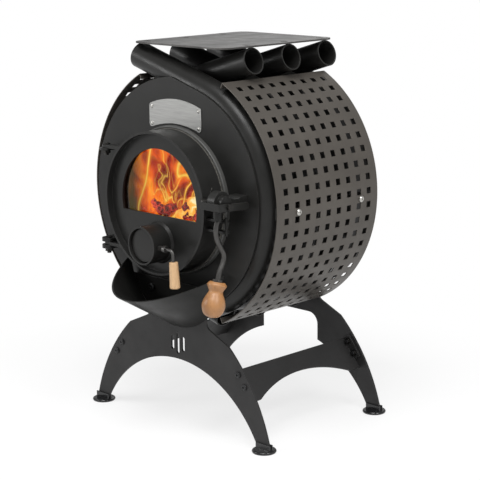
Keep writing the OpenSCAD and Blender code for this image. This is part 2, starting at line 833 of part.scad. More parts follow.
// Outline of an end plate in front of a tube that bends round the left side
module end_plate_outline() {
    r = tube_bend_r + end_plate_lap;
    t = r * [-sin(tube_rise), cos(tube_rise)];
    e = t + tube_run * [cos(tube_rise), sin(tube_rise)];
    intersection() {
        circle(r = end_plate_r, $fn = 128);
        union() {
            circle(r = r, $fn = 128);
            polygon([t, e, [2 * r, e[1]], [2 * r, -e[1]], [e[0], -e[1]], [t[0], -t[1]]]);
        }
    }
}

// Tapped holes for the neck screws, in the drum's own plane
module neck_taps() {
    both_sides() translate([neck_screw_x, neck_screw_z - drum_z, -past])
        cylinder(r = neck_screw_d / 2 + run_gap, h = plate_t + 2 * past);
}

module front_plate() {
    color(c_body) seated() upright(plate_back, drum_z) difference() {
        linear_extrude(plate_t) difference() {
            mirror([1, 0, 0]) end_plate_outline();
            translate([0, door_z - drum_z]) circle(r = fire_opening_r, $fn = 128);
        }
        neck_taps();
    }
}

module rear_plate() {
    color(c_body) seated() upright(rear_back, drum_z) difference() {
        linear_extrude(plate_t) difference() {
            end_plate_outline();
            translate([0, flue_rise]) circle(r = flue_d / 2 + seat_gap, $fn = 96);
        }
        neck_taps();
    }
}

module baffle_plate() {
    w = sqrt(pow(tube_bend_r - tube_r - seat_gap, 2) - pow(baffle_rise + baffle_t, 2));
    color(c_body) seated() translate([-w, plate_back + smoke_gap, drum_z + baffle_rise])
        cube([2 * w, rows_l - smoke_gap - seat_gap, baffle_t]);
}

module fire_sill() {
    lap = 8;
    r = fire_opening_r + lap;
    color(c_body) seated() upright(plate_back + baffle_t, door_z) linear_extrude(baffle_t)
        intersection() {
            circle(r = r, $fn = 96);
            translate([-r, -r]) square([2 * r, sill_h + lap]);
        }
}

module cook_plate() {
    y0 = plate_back + tube_gap - cook_overhang;
    l = rows_l - 2 * tube_gap + 2 * cook_overhang;
    r = cook_corner_r;
    slot = cook_slot_l - cook_slot_w;
    color(c_body) seated() translate([0, 0, cook_top_z - cook_t]) linear_extrude(cook_t) difference() {
        polygon(rounded([[-cook_half_w, y0], [cook_half_w, y0],
            [cook_half_w, y0 + l], [-cook_half_w, y0 + l]], [r, r, r, r]));
        for (i = [0:5]) {
            x = (i % 2 == 0 ? -1 : 1) * (cook_half_w - cook_slot_in);
            translate([x - slot / 2, tube_y(i) - cook_slot_w / 2]) square([slot, cook_slot_w]);
            for (s = [-1, 1]) translate([x + s * slot / 2, tube_y(i)]) circle(d = cook_slot_w);
        }
    }
}

// --- Side guards ---

// A frame on the middle line of the right guard: x out of the drum, z towards the front
module guard_line(y) {
    upright(y, drum_z) rotate([0, 0, guard_mid_a]) children();
}

module guard() {
    z0 = (guard_l - (guard_cols - 1) * guard_pitch_y - guard_hole) / 2;
    guard_line(guard_y + guard_l) difference() {
        union() {
            rotate([0, 0, -guard_half_a]) rotate_extrude(angle = 2 * guard_half_a, $fn = 96)
                translate([guard_in, 0]) square([guard_t, guard_l]);
            for (s = [0, 1]) mirror([0, s, 0]) rotate([0, 0, guard_half_a])
                translate([guard_in - guard_flange, -guard_t, 0])
                    cube([guard_flange + guard_t / 2, guard_t, guard_l]);
        }
        for (i = [0:guard_rows - 1], j = [0:guard_cols - 1])
            rotate([0, 0, (i - (guard_rows - 1) / 2) * guard_pitch_a])
                translate([guard_in - past, -guard_hole / 2, z0 + j * guard_pitch_y])
                    cube([guard_t + 2 * past, guard_hole, guard_hole]);
        for (y = screw_ys) translate([guard_in - past, 0, guard_y + guard_l - y])
            rotate([0, 90, 0])
                cylinder(r = guard_screw_d / 2 + 2 * run_gap, h = guard_t + 2 * past);
    }
}

// A piece at the right guard and its mirror image at the left one
module both_guards() {
    children();
    left_guard() children();
}

module left_guard() {
    translate([0, guard_left_back, 0]) mirror([1, 0, 0]) children();
}

module guard_right() { color(c_guard) seated() guard(); }
module guard_left() { color(c_guard) seated() left_guard() guard(); }

module guard_bars() {
    bar_in = 10;
    bar_y = guard_y + guard_l - bar_in;
    color(c_body) seated() both_guards() guard_line(bar_y) difference() {
        translate([bar_r, -bar_w / 2, 0]) cube([bar_t, bar_w, guard_l - 2 * bar_in]);
        for (y = screw_ys) translate([bar_r - past, 0, bar_y - y]) rotate([0, 90, 0])
            cylinder(r = guard_screw_d / 2 + run_gap, h = bar_t + 2 * past);
    }
}

module guard_sleeves() {
    h = guard_in - tube_gap - bar_r - bar_t;
    color(c_steel) seated() both_guards() for (y = screw_ys) guard_line(y)
        translate([bar_r + bar_t, 0, 0]) rotate([0, 90, 0]) difference() {
            cylinder(d = sleeve_d, h = h);
            translate([0, 0, -past]) cylinder(r = guard_screw_d / 2 + run_gap, h = h + 2 * past);
        }
}

module guard_screws() {
    color(c_steel) seated() both_guards() for (y = screw_ys) guard_line(y)
        translate([guard_r + tube_gap, 0, 0]) rotate([0, -90, 0])
            screw(guard_screw_d, guard_r - bar_r);
}

// --- Front fittings ---

// Local x to the back, y up, extruded to the right from x
module sideways(x) {
    translate([x, 0, 0]) rotate([90, 0, 90]) children();
}

groove_r = door_r - skirt_t / 2;

module collar_ring() {
    r0 = groove_r - groove_w / 2;
    r1 = groove_r + groove_w / 2;
    z0 = collar_h - groove_h;
    e = collar_edge_r;
    color(c_body) seated() upright(face_y, door_z) rotate_extrude($fn = 128) polygon(concat(
        [[fire_opening_r, 0], [collar_r, 0]],
        arc_pts([collar_r - e, collar_h - e], e, 0, 90, 6),
        [[r1, collar_h], [r1, z0], [r0, z0], [r0, collar_h], [fire_opening_r, collar_h]]));
}

module door_rope() {
    color(c_rope) seated() upright(skirt_back + rope_gap + rope_d / 2, door_z)
        rotate_extrude($fn = 128) translate([groove_r, 0]) circle(d = rope_d);
}

// The scoop's cone, thinned by inset; its mouth starts just in front of the tip
module scoop_cone(inset) {
    over = 2 * scoop_t;
    back_l = 2 * scoop_reach;
    drop = inset / cos(scoop_taper);
    translate([0, -scoop_reach + scoop_tip_r * sin(scoop_tilt),
        scoop_tip_z + scoop_tip_r * cos(scoop_tilt)])
        rotate([-90 - scoop_tilt, 0, 0]) translate([0, 0, -over]) cylinder(
            r1 = scoop_tip_r - over * tan(scoop_taper) - drop,
            r2 = scoop_tip_r + back_l * tan(scoop_taper) - drop, h = back_l + over, $fn = 128);
}

module ash_scoop() {
    color(c_body) seated() difference() {
        intersection() {
            scoop_cone(0);
            translate([0, -scoop_reach, scoop_tip_z]) rotate([rim_slope, 0, 0])
                translate([-through / 2, -scoop_reach, -through])
                    cube([through, 4 * scoop_reach, through]);
            translate([-through / 2, -2 * scoop_reach, 0])
                cube([through, 2 * scoop_reach, through]);
        }
        intersection() {
            scoop_cone(scoop_t);
            translate([-through / 2, -2 * scoop_reach, 0])
                cube([through, 2 * scoop_reach - scoop_back_t, through]);
        }
        translate([-through / 2, -scoop_back_t - eps, scoop_back_z])
            cube([through, scoop_back_t + past, through]);
        both_sides() translate([neck_screw_x, past, neck_screw_z]) rotate([90, 0, 0])
            cylinder(r = neck_screw_d / 2 + 2 * run_gap, h = scoop_back_t + 2 * past);
    }
}

module neck_screws() {
    color(c_body) seated() both_sides() {
        translate([neck_screw_x, -scoop_back_t, neck_screw_z]) rotate([-90, 0, 0])
            screw(neck_screw_d, scoop_back_t + 2 * plate_t);
        translate([neck_screw_x, stand_back, neck_screw_z]) rotate([90, 0, 0])
            screw(neck_screw_d, 2 * plate_t);
    }
}

// The nameplate is an arched blank under the front plate's rim
name_c = tube_bend_r + end_plate_lap - name_gap - name_r;
name_a = asin(name_half_w / name_r);
rivet_a = asin((name_half_w - rivet_side) / name_r);

module nameplate() {
    a = name_a;
    r = name_corner_r;
    color(c_steel) seated() upright(face_y, drum_z) linear_extrude(name_t)
        offset(r = r, $fn = 32) offset(delta = -r)
            polygon(concat(arc_pts([0, name_c], name_r, 90 + a, 90 - a, 24),
                arc_pts([0, name_c - name_h], name_r, 90 - a, 90 + a, 24)));
}

module nameplate_rivets() {
    ball_r = (rivet_r * rivet_r + rivet_h * rivet_h) / (2 * rivet_h);
    color(c_steel) seated() upright(face_y - name_t, drum_z) both_sides()
        for (drop = [rivet_in, name_h - rivet_in])
            translate([name_r * sin(rivet_a), name_c + name_r * cos(rivet_a) - drop]) intersection() {
                translate([0, 0, rivet_h - ball_r]) sphere(r = ball_r, $fn = 64);
                cylinder(r = rivet_r, h = rivet_h + past);
            }
}

// --- Hinges: the lower one has an ear on each side of the strap, the upper one an ear below ---

hinge_zs = [door_z - hinge_low, door_z + hinge_high];
ear_z = strap_t / 2 + ear_gap;

// A frame on the hinge axis at a height
module on_hinge(z) { translate([-hinge_x, hinge_y, z]) children(); }

module ear(t) {
    linear_extrude(t) difference() {
        union() {
            circle(r = ear_r);
            translate([-ear_r, 0]) square([2 * ear_r, hinge_out]);
        }
        circle(r = hinge_pin_d / 2 + run_gap);
    }
}

module hinge_brackets() {
    back_t = 3;
    back_h = 2 * (ear_z + ear_t);
    color(c_body) seated() {
        on_hinge(hinge_zs[0]) {
            translate([0, 0, ear_z]) ear(ear_t);
            translate([0, 0, -ear_z - ear_t]) ear(ear_t);
            translate([-ear_r, hinge_out - back_t, -back_h / 2]) cube([2 * ear_r, back_t, back_h]);
        }
        on_hinge(hinge_zs[1]) translate([0, 0, -ear_z - ear_high_t]) ear(ear_high_t);
    }
}

module hinge_pins() {
    low_l = 2 * (ear_z + ear_t) + nut_room;
    high_l = strap_t + ear_gap + ear_high_t + nut_room;
    color(c_steel) seated() {
        on_hinge(hinge_zs[0]) {
            translate([0, 0, ear_z + ear_t]) pin(low_l);
            translate([0, 0, -ear_z - ear_t]) mirror([0, 0, 1]) nut(hinge_pin_d);
        }
        on_hinge(hinge_zs[1]) {
            translate([0, 0, ear_z]) pin(high_l);
            translate([0, 0, -ear_z - ear_high_t]) mirror([0, 0, 1]) nut(hinge_pin_d);
        }
    }
}

// A pin that hangs from its low round head
module pin(l) {
    cylinder(d = 1.6 * hinge_pin_d, h = pin_head_h);
    translate([0, 0, -l]) cylinder(d = hinge_pin_d, h = l + eps);
}

module hinge_straps() {
    color(c_body) seated() difference() {
        for (z = hinge_zs) on_hinge(z - strap_t / 2) difference() {
            linear_extrude(strap_t) {
                circle(d = strap_w);
                translate([0, -strap_w / 2]) square([hinge_x, strap_w]);
            }
            translate([0, 0, -past])
                cylinder(r = hinge_pin_d / 2 + run_gap, h = strap_t + 2 * past);
        }
        skirt_space();
    }
}

// The space inside the door's skirt, grown by the weld gap
module skirt_space() {
    upright(stand_back, door_z)
        cylinder(r = door_r + run_gap, h = stand_back + scoop_reach, $fn = 128);
}

strap_pin_y = face_y - strap_pin_out;
strap_pin_z = axle_z - strap_pin_drop;
keeper_z = strap_pin_z + strap_pin_d / 2 + keeper_gap;

module keeper_lug() {
    low_r = 2;
    top_r = 6;
    color(c_body) seated() sideways(keeper_x) linear_extrude(keeper_w) polygon(rounded([
        [face_y - keeper_l, keeper_z], [face_y, keeper_z], [face_y, keeper_z + keeper_h],
        [face_y - keeper_l, keeper_z + keeper_h]], [low_r, 0, 0, top_r]));
}

// --- Flue ---

flue_z = drum_z + flue_rise;
damper_y = rear_back + damper_back;

module flue_collar() {
    r = flue_d / 2;
    color(c_body) seated() difference() {
        upright(rear_back + flue_l, flue_z) difference() {
            union() {
                cylinder(r = r, h = flue_l + plate_t, $fn = 96);
                translate([0, 0, flue_l - flue_flange_t])
                    cylinder(r = r + flue_flange, h = flue_flange_t, $fn = 96);
                translate([0, 0, flue_free_l])
                    cylinder(r = r + flue_wall, h = flue_l - flue_free_l, $fn = 96);
            }
            translate([0, 0, -past])
                cylinder(r = r - flue_wall, h = flue_l + plate_t + 2 * past, $fn = 96);
        }
        translate([-flue_d, damper_y, flue_z]) rotate([0, 90, 0])
            cylinder(r = damper_shaft_d / 2 + run_gap, h = 2 * flue_d);
    }
}

module damper_disc() {
    color(c_body) seated() upright(damper_y + damper_shaft_d / 2 + damper_t, flue_z)
        cylinder(r = flue_d / 2 - flue_wall - damper_gap, h = damper_t, $fn = 96);
}

module damper_shaft() {
    x0 = -flue_d / 2 - damper_shaft_d;
    x1 = flue_d / 2 + damper_lever_out;
    color(c_steel) seated() translate([0, damper_y, flue_z]) {
        translate([x0, 0, 0]) rotate([0, 90, 0]) cylinder(d = damper_shaft_d, h = x1 - x0);
        translate([x1, 0, 0]) sphere(d = damper_shaft_d);
        translate([x1, 0, -damper_lever_l]) {
            cylinder(d = damper_shaft_d, h = damper_lever_l);
            sphere(d = 1.8 * damper_shaft_d);
        }
    }
}

// --- Door ---

// Window outline grown by the margin m
module window_outline(m) {
    r = window_r + m;
    intersection() {
        circle(r = r, $fn = 128);
        translate([-r, -window_drop - m]) square([2 * r, 2 * r]);
    }
}

clip_r = window_r + glass_margin + clip_w / 2;
clip_y = glass_y + glass_t;
shield_y = clip_y + shield_gap;
shield_x = air_hole_r + shield_lap;
screw_bite = disc_t - past;

module door_shell() {
    color(c_body) seated() difference() {
        upright(skirt_back, door_z) difference() {
            cylinder(r = door_r, h = skirt_l, $fn = 128);
            translate([0, 0, -past]) cylinder(r = door_r - skirt_t, $fn = 128,
                h = skirt_l - disc_inset - disc_t + past);
            translate([0, 0, skirt_l - disc_inset])
                cylinder(r = door_r - skirt_t, h = disc_inset + past, $fn = 128);
            translate([0, 0, skirt_l - disc_inset - disc_t - past])
                linear_extrude(disc_t + 2 * past) window_outline(0);
        }
        upright(disc_y + disc_t + past, nozzle_z)
            cylinder(r = air_hole_r, h = disc_t + 2 * past);
        upright(disc_y + disc_t, door_z) clip_places()
            translate([0, 0, -eps]) cylinder(r = clip_d / 2 + run_gap, h = screw_bite + eps);
        upright(disc_y + disc_t, nozzle_z) both_sides() translate([shield_x, 0, -eps])
            cylinder(r = clip_d / 2 + run_gap, h = screw_bite + eps);
    }
}

module clip_places() {
    for (a = [clip_low_a, clip_high_a, 180 - clip_high_a, 180 - clip_low_a])
        rotate([0, 0, a]) translate([clip_r, 0, 0]) children();
}

module door_glass() {
    color(c_glass) seated() upright(glass_y + glass_t, door_z)
        linear_extrude(glass_t) window_outline(glass_margin);
}

module glass_gasket() {
    color(c_rope) seated() upright(glass_y, door_z) linear_extrude(gasket_t) difference() {
        window_outline(glass_margin);
        window_outline(glass_margin - gasket_w);
    }
}

module glass_clips() {
    reach = 12;
    foot_in = 5;
    color(c_steel) seated() upright(clip_y + clip_t, door_z) clip_places() difference() {
        union() {
            translate([-reach, -clip_w / 2, 0]) cube([reach + foot_in, clip_w, clip_t]);
            translate([-foot_in, -clip_w / 2, clip_t - eps])
                cube([2 * foot_in, clip_w, gasket_t + glass_t + eps]);
        }
        translate([0, 0, -past]) cylinder(r = clip_d / 2 + run_gap,
            h = clip_t + gasket_t + glass_t + 2 * past);
    }
}

module clip_screws() {
    color(c_steel) seated() upright(clip_y + clip_t, door_z) clip_places()
        screw(clip_d, clip_t + glass_t + gasket_t + screw_bite);
}

module inner_shield() {
    color(c_body) seated() upright(shield_y + shield_t, nozzle_z) difference() {
        cylinder(r = shield_x + shield_lap, h = shield_t);
        both_sides() translate([shield_x, 0, -past])
            cylinder(r = clip_d / 2 + run_gap, h = shield_t + 2 * past);
    }
}

module shield_bolts() {
    stand_off = shield_y - disc_y - disc_t;
    color(c_steel) seated() upright(shield_y, nozzle_z) both_sides()
        translate([shield_x, 0, 0]) {
            difference() {
                cylinder(d = 2 * clip_d, h = stand_off);
                translate([0, 0, -past])
                    cylinder(r = clip_d / 2 + run_gap, h = stand_off + 2 * past);
            }
            translate([0, 0, -shield_t]) screw(clip_d, shield_t + stand_off + screw_bite);
        }
}

module air_nozzle() {
    r = nozzle_d / 2;
    weld = 4;
    color(c_body) seated() difference() {
        upright(disc_y, nozzle_z) difference() {
            union() {
                cylinder(r = r, h = nozzle_l);
                cylinder(r1 = r + weld, r2 = r, h = weld);
            }
            translate([0, 0, -past]) cylinder(r = r - nozzle_wall, h = nozzle_l + 2 * past);
        }
        translate([-nozzle_d, flap_y, nozzle_z]) rotate([0, 90, 0])
            cylinder(r = flap_shaft_d / 2 + run_gap, h = 2 * nozzle_d);
    }
}

// --- Air flap ---

flap_shaft_r = flap_shaft_d / 2;
flap_spring_x = nozzle_d / 2 + flap_wire / 2 + spring_gap;
flap_stop_x = flap_spring_x + flap_spring_l + flap_wire / 2 + spring_gap;

module flap_disc() {
    color(c_body) seated() upright(flap_y - flap_shaft_r, nozzle_z)
        cylinder(r = nozzle_d / 2 - nozzle_wall - flap_gap, h = flap_t);
}

// A frame at the end of the shaft's bend, z down the leg
module flap_leg() {
    upright(flap_y, nozzle_z) translate([flap_crank_x - flap_bend_r, -flap_bend_r, 0])
        rotate([0, 0, 90 - flap_bend_a]) translate([flap_bend_r, 0, 0])
            rotate([90, 0, 0]) children();
}

module flap_shaft() {
    x0 = -nozzle_d / 2 - nozzle_wall;
    stop_l = 7;
    color(c_steel) seated() {
        translate([x0, flap_y, nozzle_z]) rotate([0, 90, 0])
            cylinder(r = flap_shaft_r, h = flap_crank_x - flap_bend_r - x0);
        translate([flap_stop_x, flap_y, nozzle_z]) rotate([0, 90, 0])
            cylinder(r = 2 * flap_shaft_r, h = stop_l);
        upright(flap_y, nozzle_z) translate([flap_crank_x - flap_bend_r, -flap_bend_r, 0])
            rotate([0, 0, 90 - flap_bend_a]) rotate_extrude(angle = flap_bend_a)
                translate([flap_bend_r, 0]) circle(r = flap_shaft_r);
        flap_leg() cylinder(r = flap_shaft_r, h = flap_grip_drop - flap_bend_r);
    }
}

module flap_grip() {
    edge = 1.5;
    r1 = flap_grip_d1 / 2 - edge;
    r2 = flap_grip_d2 / 2 - 2 * edge;
    l = flap_grip_l;
    color(c_wood) seated() flap_leg() translate([0, 0, flap_grip_drop - flap_bend_r])
        rotate_extrude() polygon(concat([[0, 0]], arc_pts([r1, edge], edge, -90, 0, 4),
            arc_pts([r2, l - 2 * edge], 2 * edge, 0, 90, 6), [[0, l]]));
}

// Points of a helix round the X axis: n turns of turn_n points from the angle a
turn_n = 8;
function helix(r, pitch, n, a) = [for (i = [0:turn_n * n])
    [pitch * i / turn_n, r * cos(a - 360 * i / turn_n), r * sin(a - 360 * i / turn_n)]];

// Least gap between wire points that are more than half a turn apart
function least_gap(p, wire) = min([for (i = [0:len(p) - 1], j = [0:len(p) - 1])
    if (j - i > turn_n / 2) norm(p[j] - p[i]) - wire]);

// The flap's spring clears its shaft; the latch's spring ends in a leg along the cam hub
flap_coil_r = (flap_shaft_r + flap_wire / 2 + spring_gap) / cos(180 / turn_n);
flap_coil = helix(flap_coil_r, flap_spring_l / flap_turns, flap_turns, 90);
latch_leg = [[0, 9], [0.5, 18], [2, 25], [4.5, 29]];
latch_coil = concat(helix(spring_r, spring_pitch, spring_turns, 180),
    [for (p = latch_leg) [spring_pitch * spring_turns, p[0] - spring_r, p[1]]]);
echo(flap_spring_gap = least_gap(flap_coil, flap_wire));
echo(latch_spring_gap = least_gap(latch_coil, spring_wire));

module flap_spring() {
    color(c_steel) seated() translate([flap_spring_x, flap_y, nozzle_z])
        tube_along(flap_coil, [for (p = flap_coil) [0, p[1], p[2]]], flap_wire / 2, 6);
}

// --- Latch ---

module latch_axle() {
    collar_end = arm_x - latch_t - strap_play;
    nut_x = arm_end + latch_t + strap_play;
    nut_h = 5;
    color(c_steel) seated() {
        difference() {
            sideways(0) translate([axle_y, axle_z]) {
                cylinder(d = axle_d, h = nut_x + nut_h);
                cylinder(d = axle_collar_d, h = collar_end);
            }
            skirt_space();
        }
        sideways(nut_x) translate([axle_y, axle_z]) difference() {
            cylinder(d = 1.6 * axle_d, h = nut_h, $fn = 6);
            translate([0, 0, -past]) cylinder(r = axle_d / 2 + run_gap, h = nut_h + 2 * past);
        }
    }
}

// Two tabs beside the rod, joined by an upright bar, hold it in line when the latch is shut
module door_catch() {
    bar_x = rod_x + socket_d / 2 + past;
    bar_w = 4;
    tab_t = 4;
    low_z = catch_z - catch_h;
    color(c_body) seated() difference() {
        translate([0, axle_y + catch_in, 0]) {
            translate([bar_x, 0, low_z]) cube([bar_w, bar_w, catch_h]);
            for (part = [0.1, 0.67]) translate([0, 0, low_z + part * catch_h])
                cube([bar_x + eps, catch_l, tab_t]);
        }
        skirt_space();
    }
}

module latch_spring() {
    color(c_steel) seated() translate([arm_x + spring_wire / 2 + spring_side, axle_y, axle_z])
        tube_along(latch_coil, [for (p = latch_coil) [0, p[1], p[2]]], spring_wire / 2, 6);
}

module latch_strap() {
    y0 = -bridge_out - latch_t;
    y1 = axle_out - strap_end_gap;
    drop = 5;
    color(c_body) seated() translate([0, axle_y, axle_z]) {
        for (x = [arm_x - latch_t, arm_end]) sideways(x) difference() {
            linear_extrude(latch_t) polygon(rounded([[y0, -latch_h / 2],
                [y1, -latch_h / 2 - drop], [y1, latch_h / 2 - drop], [y0, latch_h / 2]],
                [0, drop, drop, 0]));
            translate([0, 0, -past])
                cylinder(r = axle_d / 2 + run_gap, h = latch_t + 2 * past);
        }
        translate([arm_x - eps, y0, -latch_h / 2]) cube([latch_in_w + 2 * eps, latch_t, latch_h]);
        sideways(arm_x - eps) translate([strap_pin_y - axle_y, -strap_pin_drop])
            cylinder(d = strap_pin_d, h = latch_in_w + 2 * eps);
    }
}

// The end of the hub's socket, seen from the axle
socket_end = [-1.5, -27];

module cam_hub() {
    left_x = arm_x + spring_gap;
    sleeve_r = spring_r * cos(180 / turn_n) - spring_wire / 2 - spring_gap;
    color(c_body) seated() translate([0, axle_y, axle_z]) difference() {
        union() {
            sideways(hub_x) translate([0, hub_up]) cylinder(r = hub_r, h = hub_w);
            sideways(hub_end - eps) translate([0, hub_up]) cylinder(r = boss_r, h = boss_w);
            sideways(left_x) cylinder(r = sleeve_r, h = hub_x - left_x + eps);
            translate([rod_x, socket_end[0], socket_end[1]]) cylinder(d = socket_d, h = hub_r);
        }
        sideways(left_x - past)
            cylinder(r = axle_d / 2 + run_gap, h = boss_end - left_x + 2 * past);
    }
}

// The rod's bends, from the hub's socket to the grip, as distances from the socket's end
rod_points = [[0, -1], [-3.5, -8], [-5, -21], [-1.5, -35], [6.5, -49], [13.5, -61],
    [11.5, -74], [3.5, -88], [-1, -100.5], [-2.2, -104]];
rod_end = socket_end + rod_points[len(rod_points) - 1];

module handle_rod() {
    path = concat([[0, 0]], smooth(rod_points, 4));
    color(c_steel) seated() translate([rod_x, axle_y, axle_z]) {
        translate([0, socket_end[0], socket_end[1]]) tube_along(
            [for (p = path) [0, p[0], p[1]]], [for (p = path) [1, 0, 0]], rod_d / 2, 12);
        translate([0, rod_end[0], rod_end[1]]) rotate([-grip_lean, 0, 0])
            translate([0, 0, -grip_sink]) cylinder(d = ferrule_d, h = ferrule_h);
    }
}

module handle_grip() {
    r = grip_r;
    l = grip_l;
    shape = smooth([[grip_flare_r - 3.5, 0], [grip_flare_r, 0.07 * l], [grip_flare_r - 1, 0.14 * l],
        [grip_neck_r, 0.26 * l], [0.75 * r, 0.38 * l], [0.93 * r, 0.52 * l], [r, 0.67 * l],
        [0.88 * r, 0.82 * l], [0.6 * r, 0.94 * l], [0, l]], 4);
    color(c_wood) seated() translate([rod_x, axle_y + rod_end[0], axle_z + rod_end[1]])
        rotate([-grip_lean, 0, 0]) translate([0, 0, -grip_sink]) mirror([0, 0, 1])
            rotate_extrude($fn = 96) polygon(concat([[0, 0]], shape));
}

stand_front_plate();
stand_rear_plate();
rail_left();
rail_right();
rail_bolts();
rail_nuts();
foot_front_left();
foot_front_right();
foot_rear_left();
foot_rear_right();
front_plate();
rear_plate();
tube_right_1();
tube_right_2();
tube_right_3();
tube_left_1();
tube_left_2();
tube_left_3();
shell_right();
shell_left();
cook_plate();
guard_right();
guard_left();
guard_bars();
guard_sleeves();
guard_screws();
collar_ring();
door_rope();
ash_scoop();
neck_screws();
nameplate();
nameplate_rivets();
hinge_brackets();
keeper_lug();
baffle_plate();
fire_sill();
flue_collar();
damper_disc();
damper_shaft();
door_shell();
air_nozzle();
door_glass();
glass_gasket();
glass_clips();
clip_screws();
inner_shield();
shield_bolts();
hinge_straps();
hinge_pins();
latch_axle();
door_catch();
latch_spring();
latch_strap();
cam_hub();
handle_rod();
handle_grip();
flap_disc();
flap_shaft();
flap_spring();
flap_grip();
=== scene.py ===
"""Looks for the tent wood stove: finishes, weld beads, the fire behind the glass, floor and light."""

import json
import math
import random

import bmesh
import bpy
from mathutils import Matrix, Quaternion, Vector

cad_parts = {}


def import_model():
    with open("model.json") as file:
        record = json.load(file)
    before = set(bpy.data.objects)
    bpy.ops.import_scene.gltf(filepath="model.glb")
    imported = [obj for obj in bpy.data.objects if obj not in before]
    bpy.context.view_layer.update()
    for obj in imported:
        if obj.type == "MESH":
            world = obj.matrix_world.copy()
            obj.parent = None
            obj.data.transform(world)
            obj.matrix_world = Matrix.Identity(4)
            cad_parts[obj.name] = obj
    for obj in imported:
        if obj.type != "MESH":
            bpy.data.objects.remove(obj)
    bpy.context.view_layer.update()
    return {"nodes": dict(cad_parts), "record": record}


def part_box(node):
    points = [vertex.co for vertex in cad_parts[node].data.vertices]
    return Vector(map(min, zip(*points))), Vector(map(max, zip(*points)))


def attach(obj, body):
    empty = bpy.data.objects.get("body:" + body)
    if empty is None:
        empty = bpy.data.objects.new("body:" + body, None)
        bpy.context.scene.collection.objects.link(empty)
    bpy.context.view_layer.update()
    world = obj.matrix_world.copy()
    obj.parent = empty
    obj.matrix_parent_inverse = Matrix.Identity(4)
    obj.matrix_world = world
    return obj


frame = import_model()

MM = 0.001
NODES = frame["nodes"]


# --- Places taken from the frame, in metres ---

def low(node):
    """The lowest corner of a node's box."""
    return Vector(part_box(node)[0])


def high(node):
    """The highest corner of a node's box."""
    return Vector(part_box(node)[1])


def centre(node):
    """The middle of a node's box."""
    return (low(node) + high(node)) / 2


DOOR_C = centre("collar_ring")
PLATE_FRONT_Y = low("front_plate").y
PLATE_BACK_Y = high("front_plate").y
REAR_Y = high("rear_plate").y


# --- Node materials ---

# A mix node has sockets for each kind of value; these are the colour ones
COLOUR_A, COLOUR_B, COLOUR_RESULT = 6, 7, 2


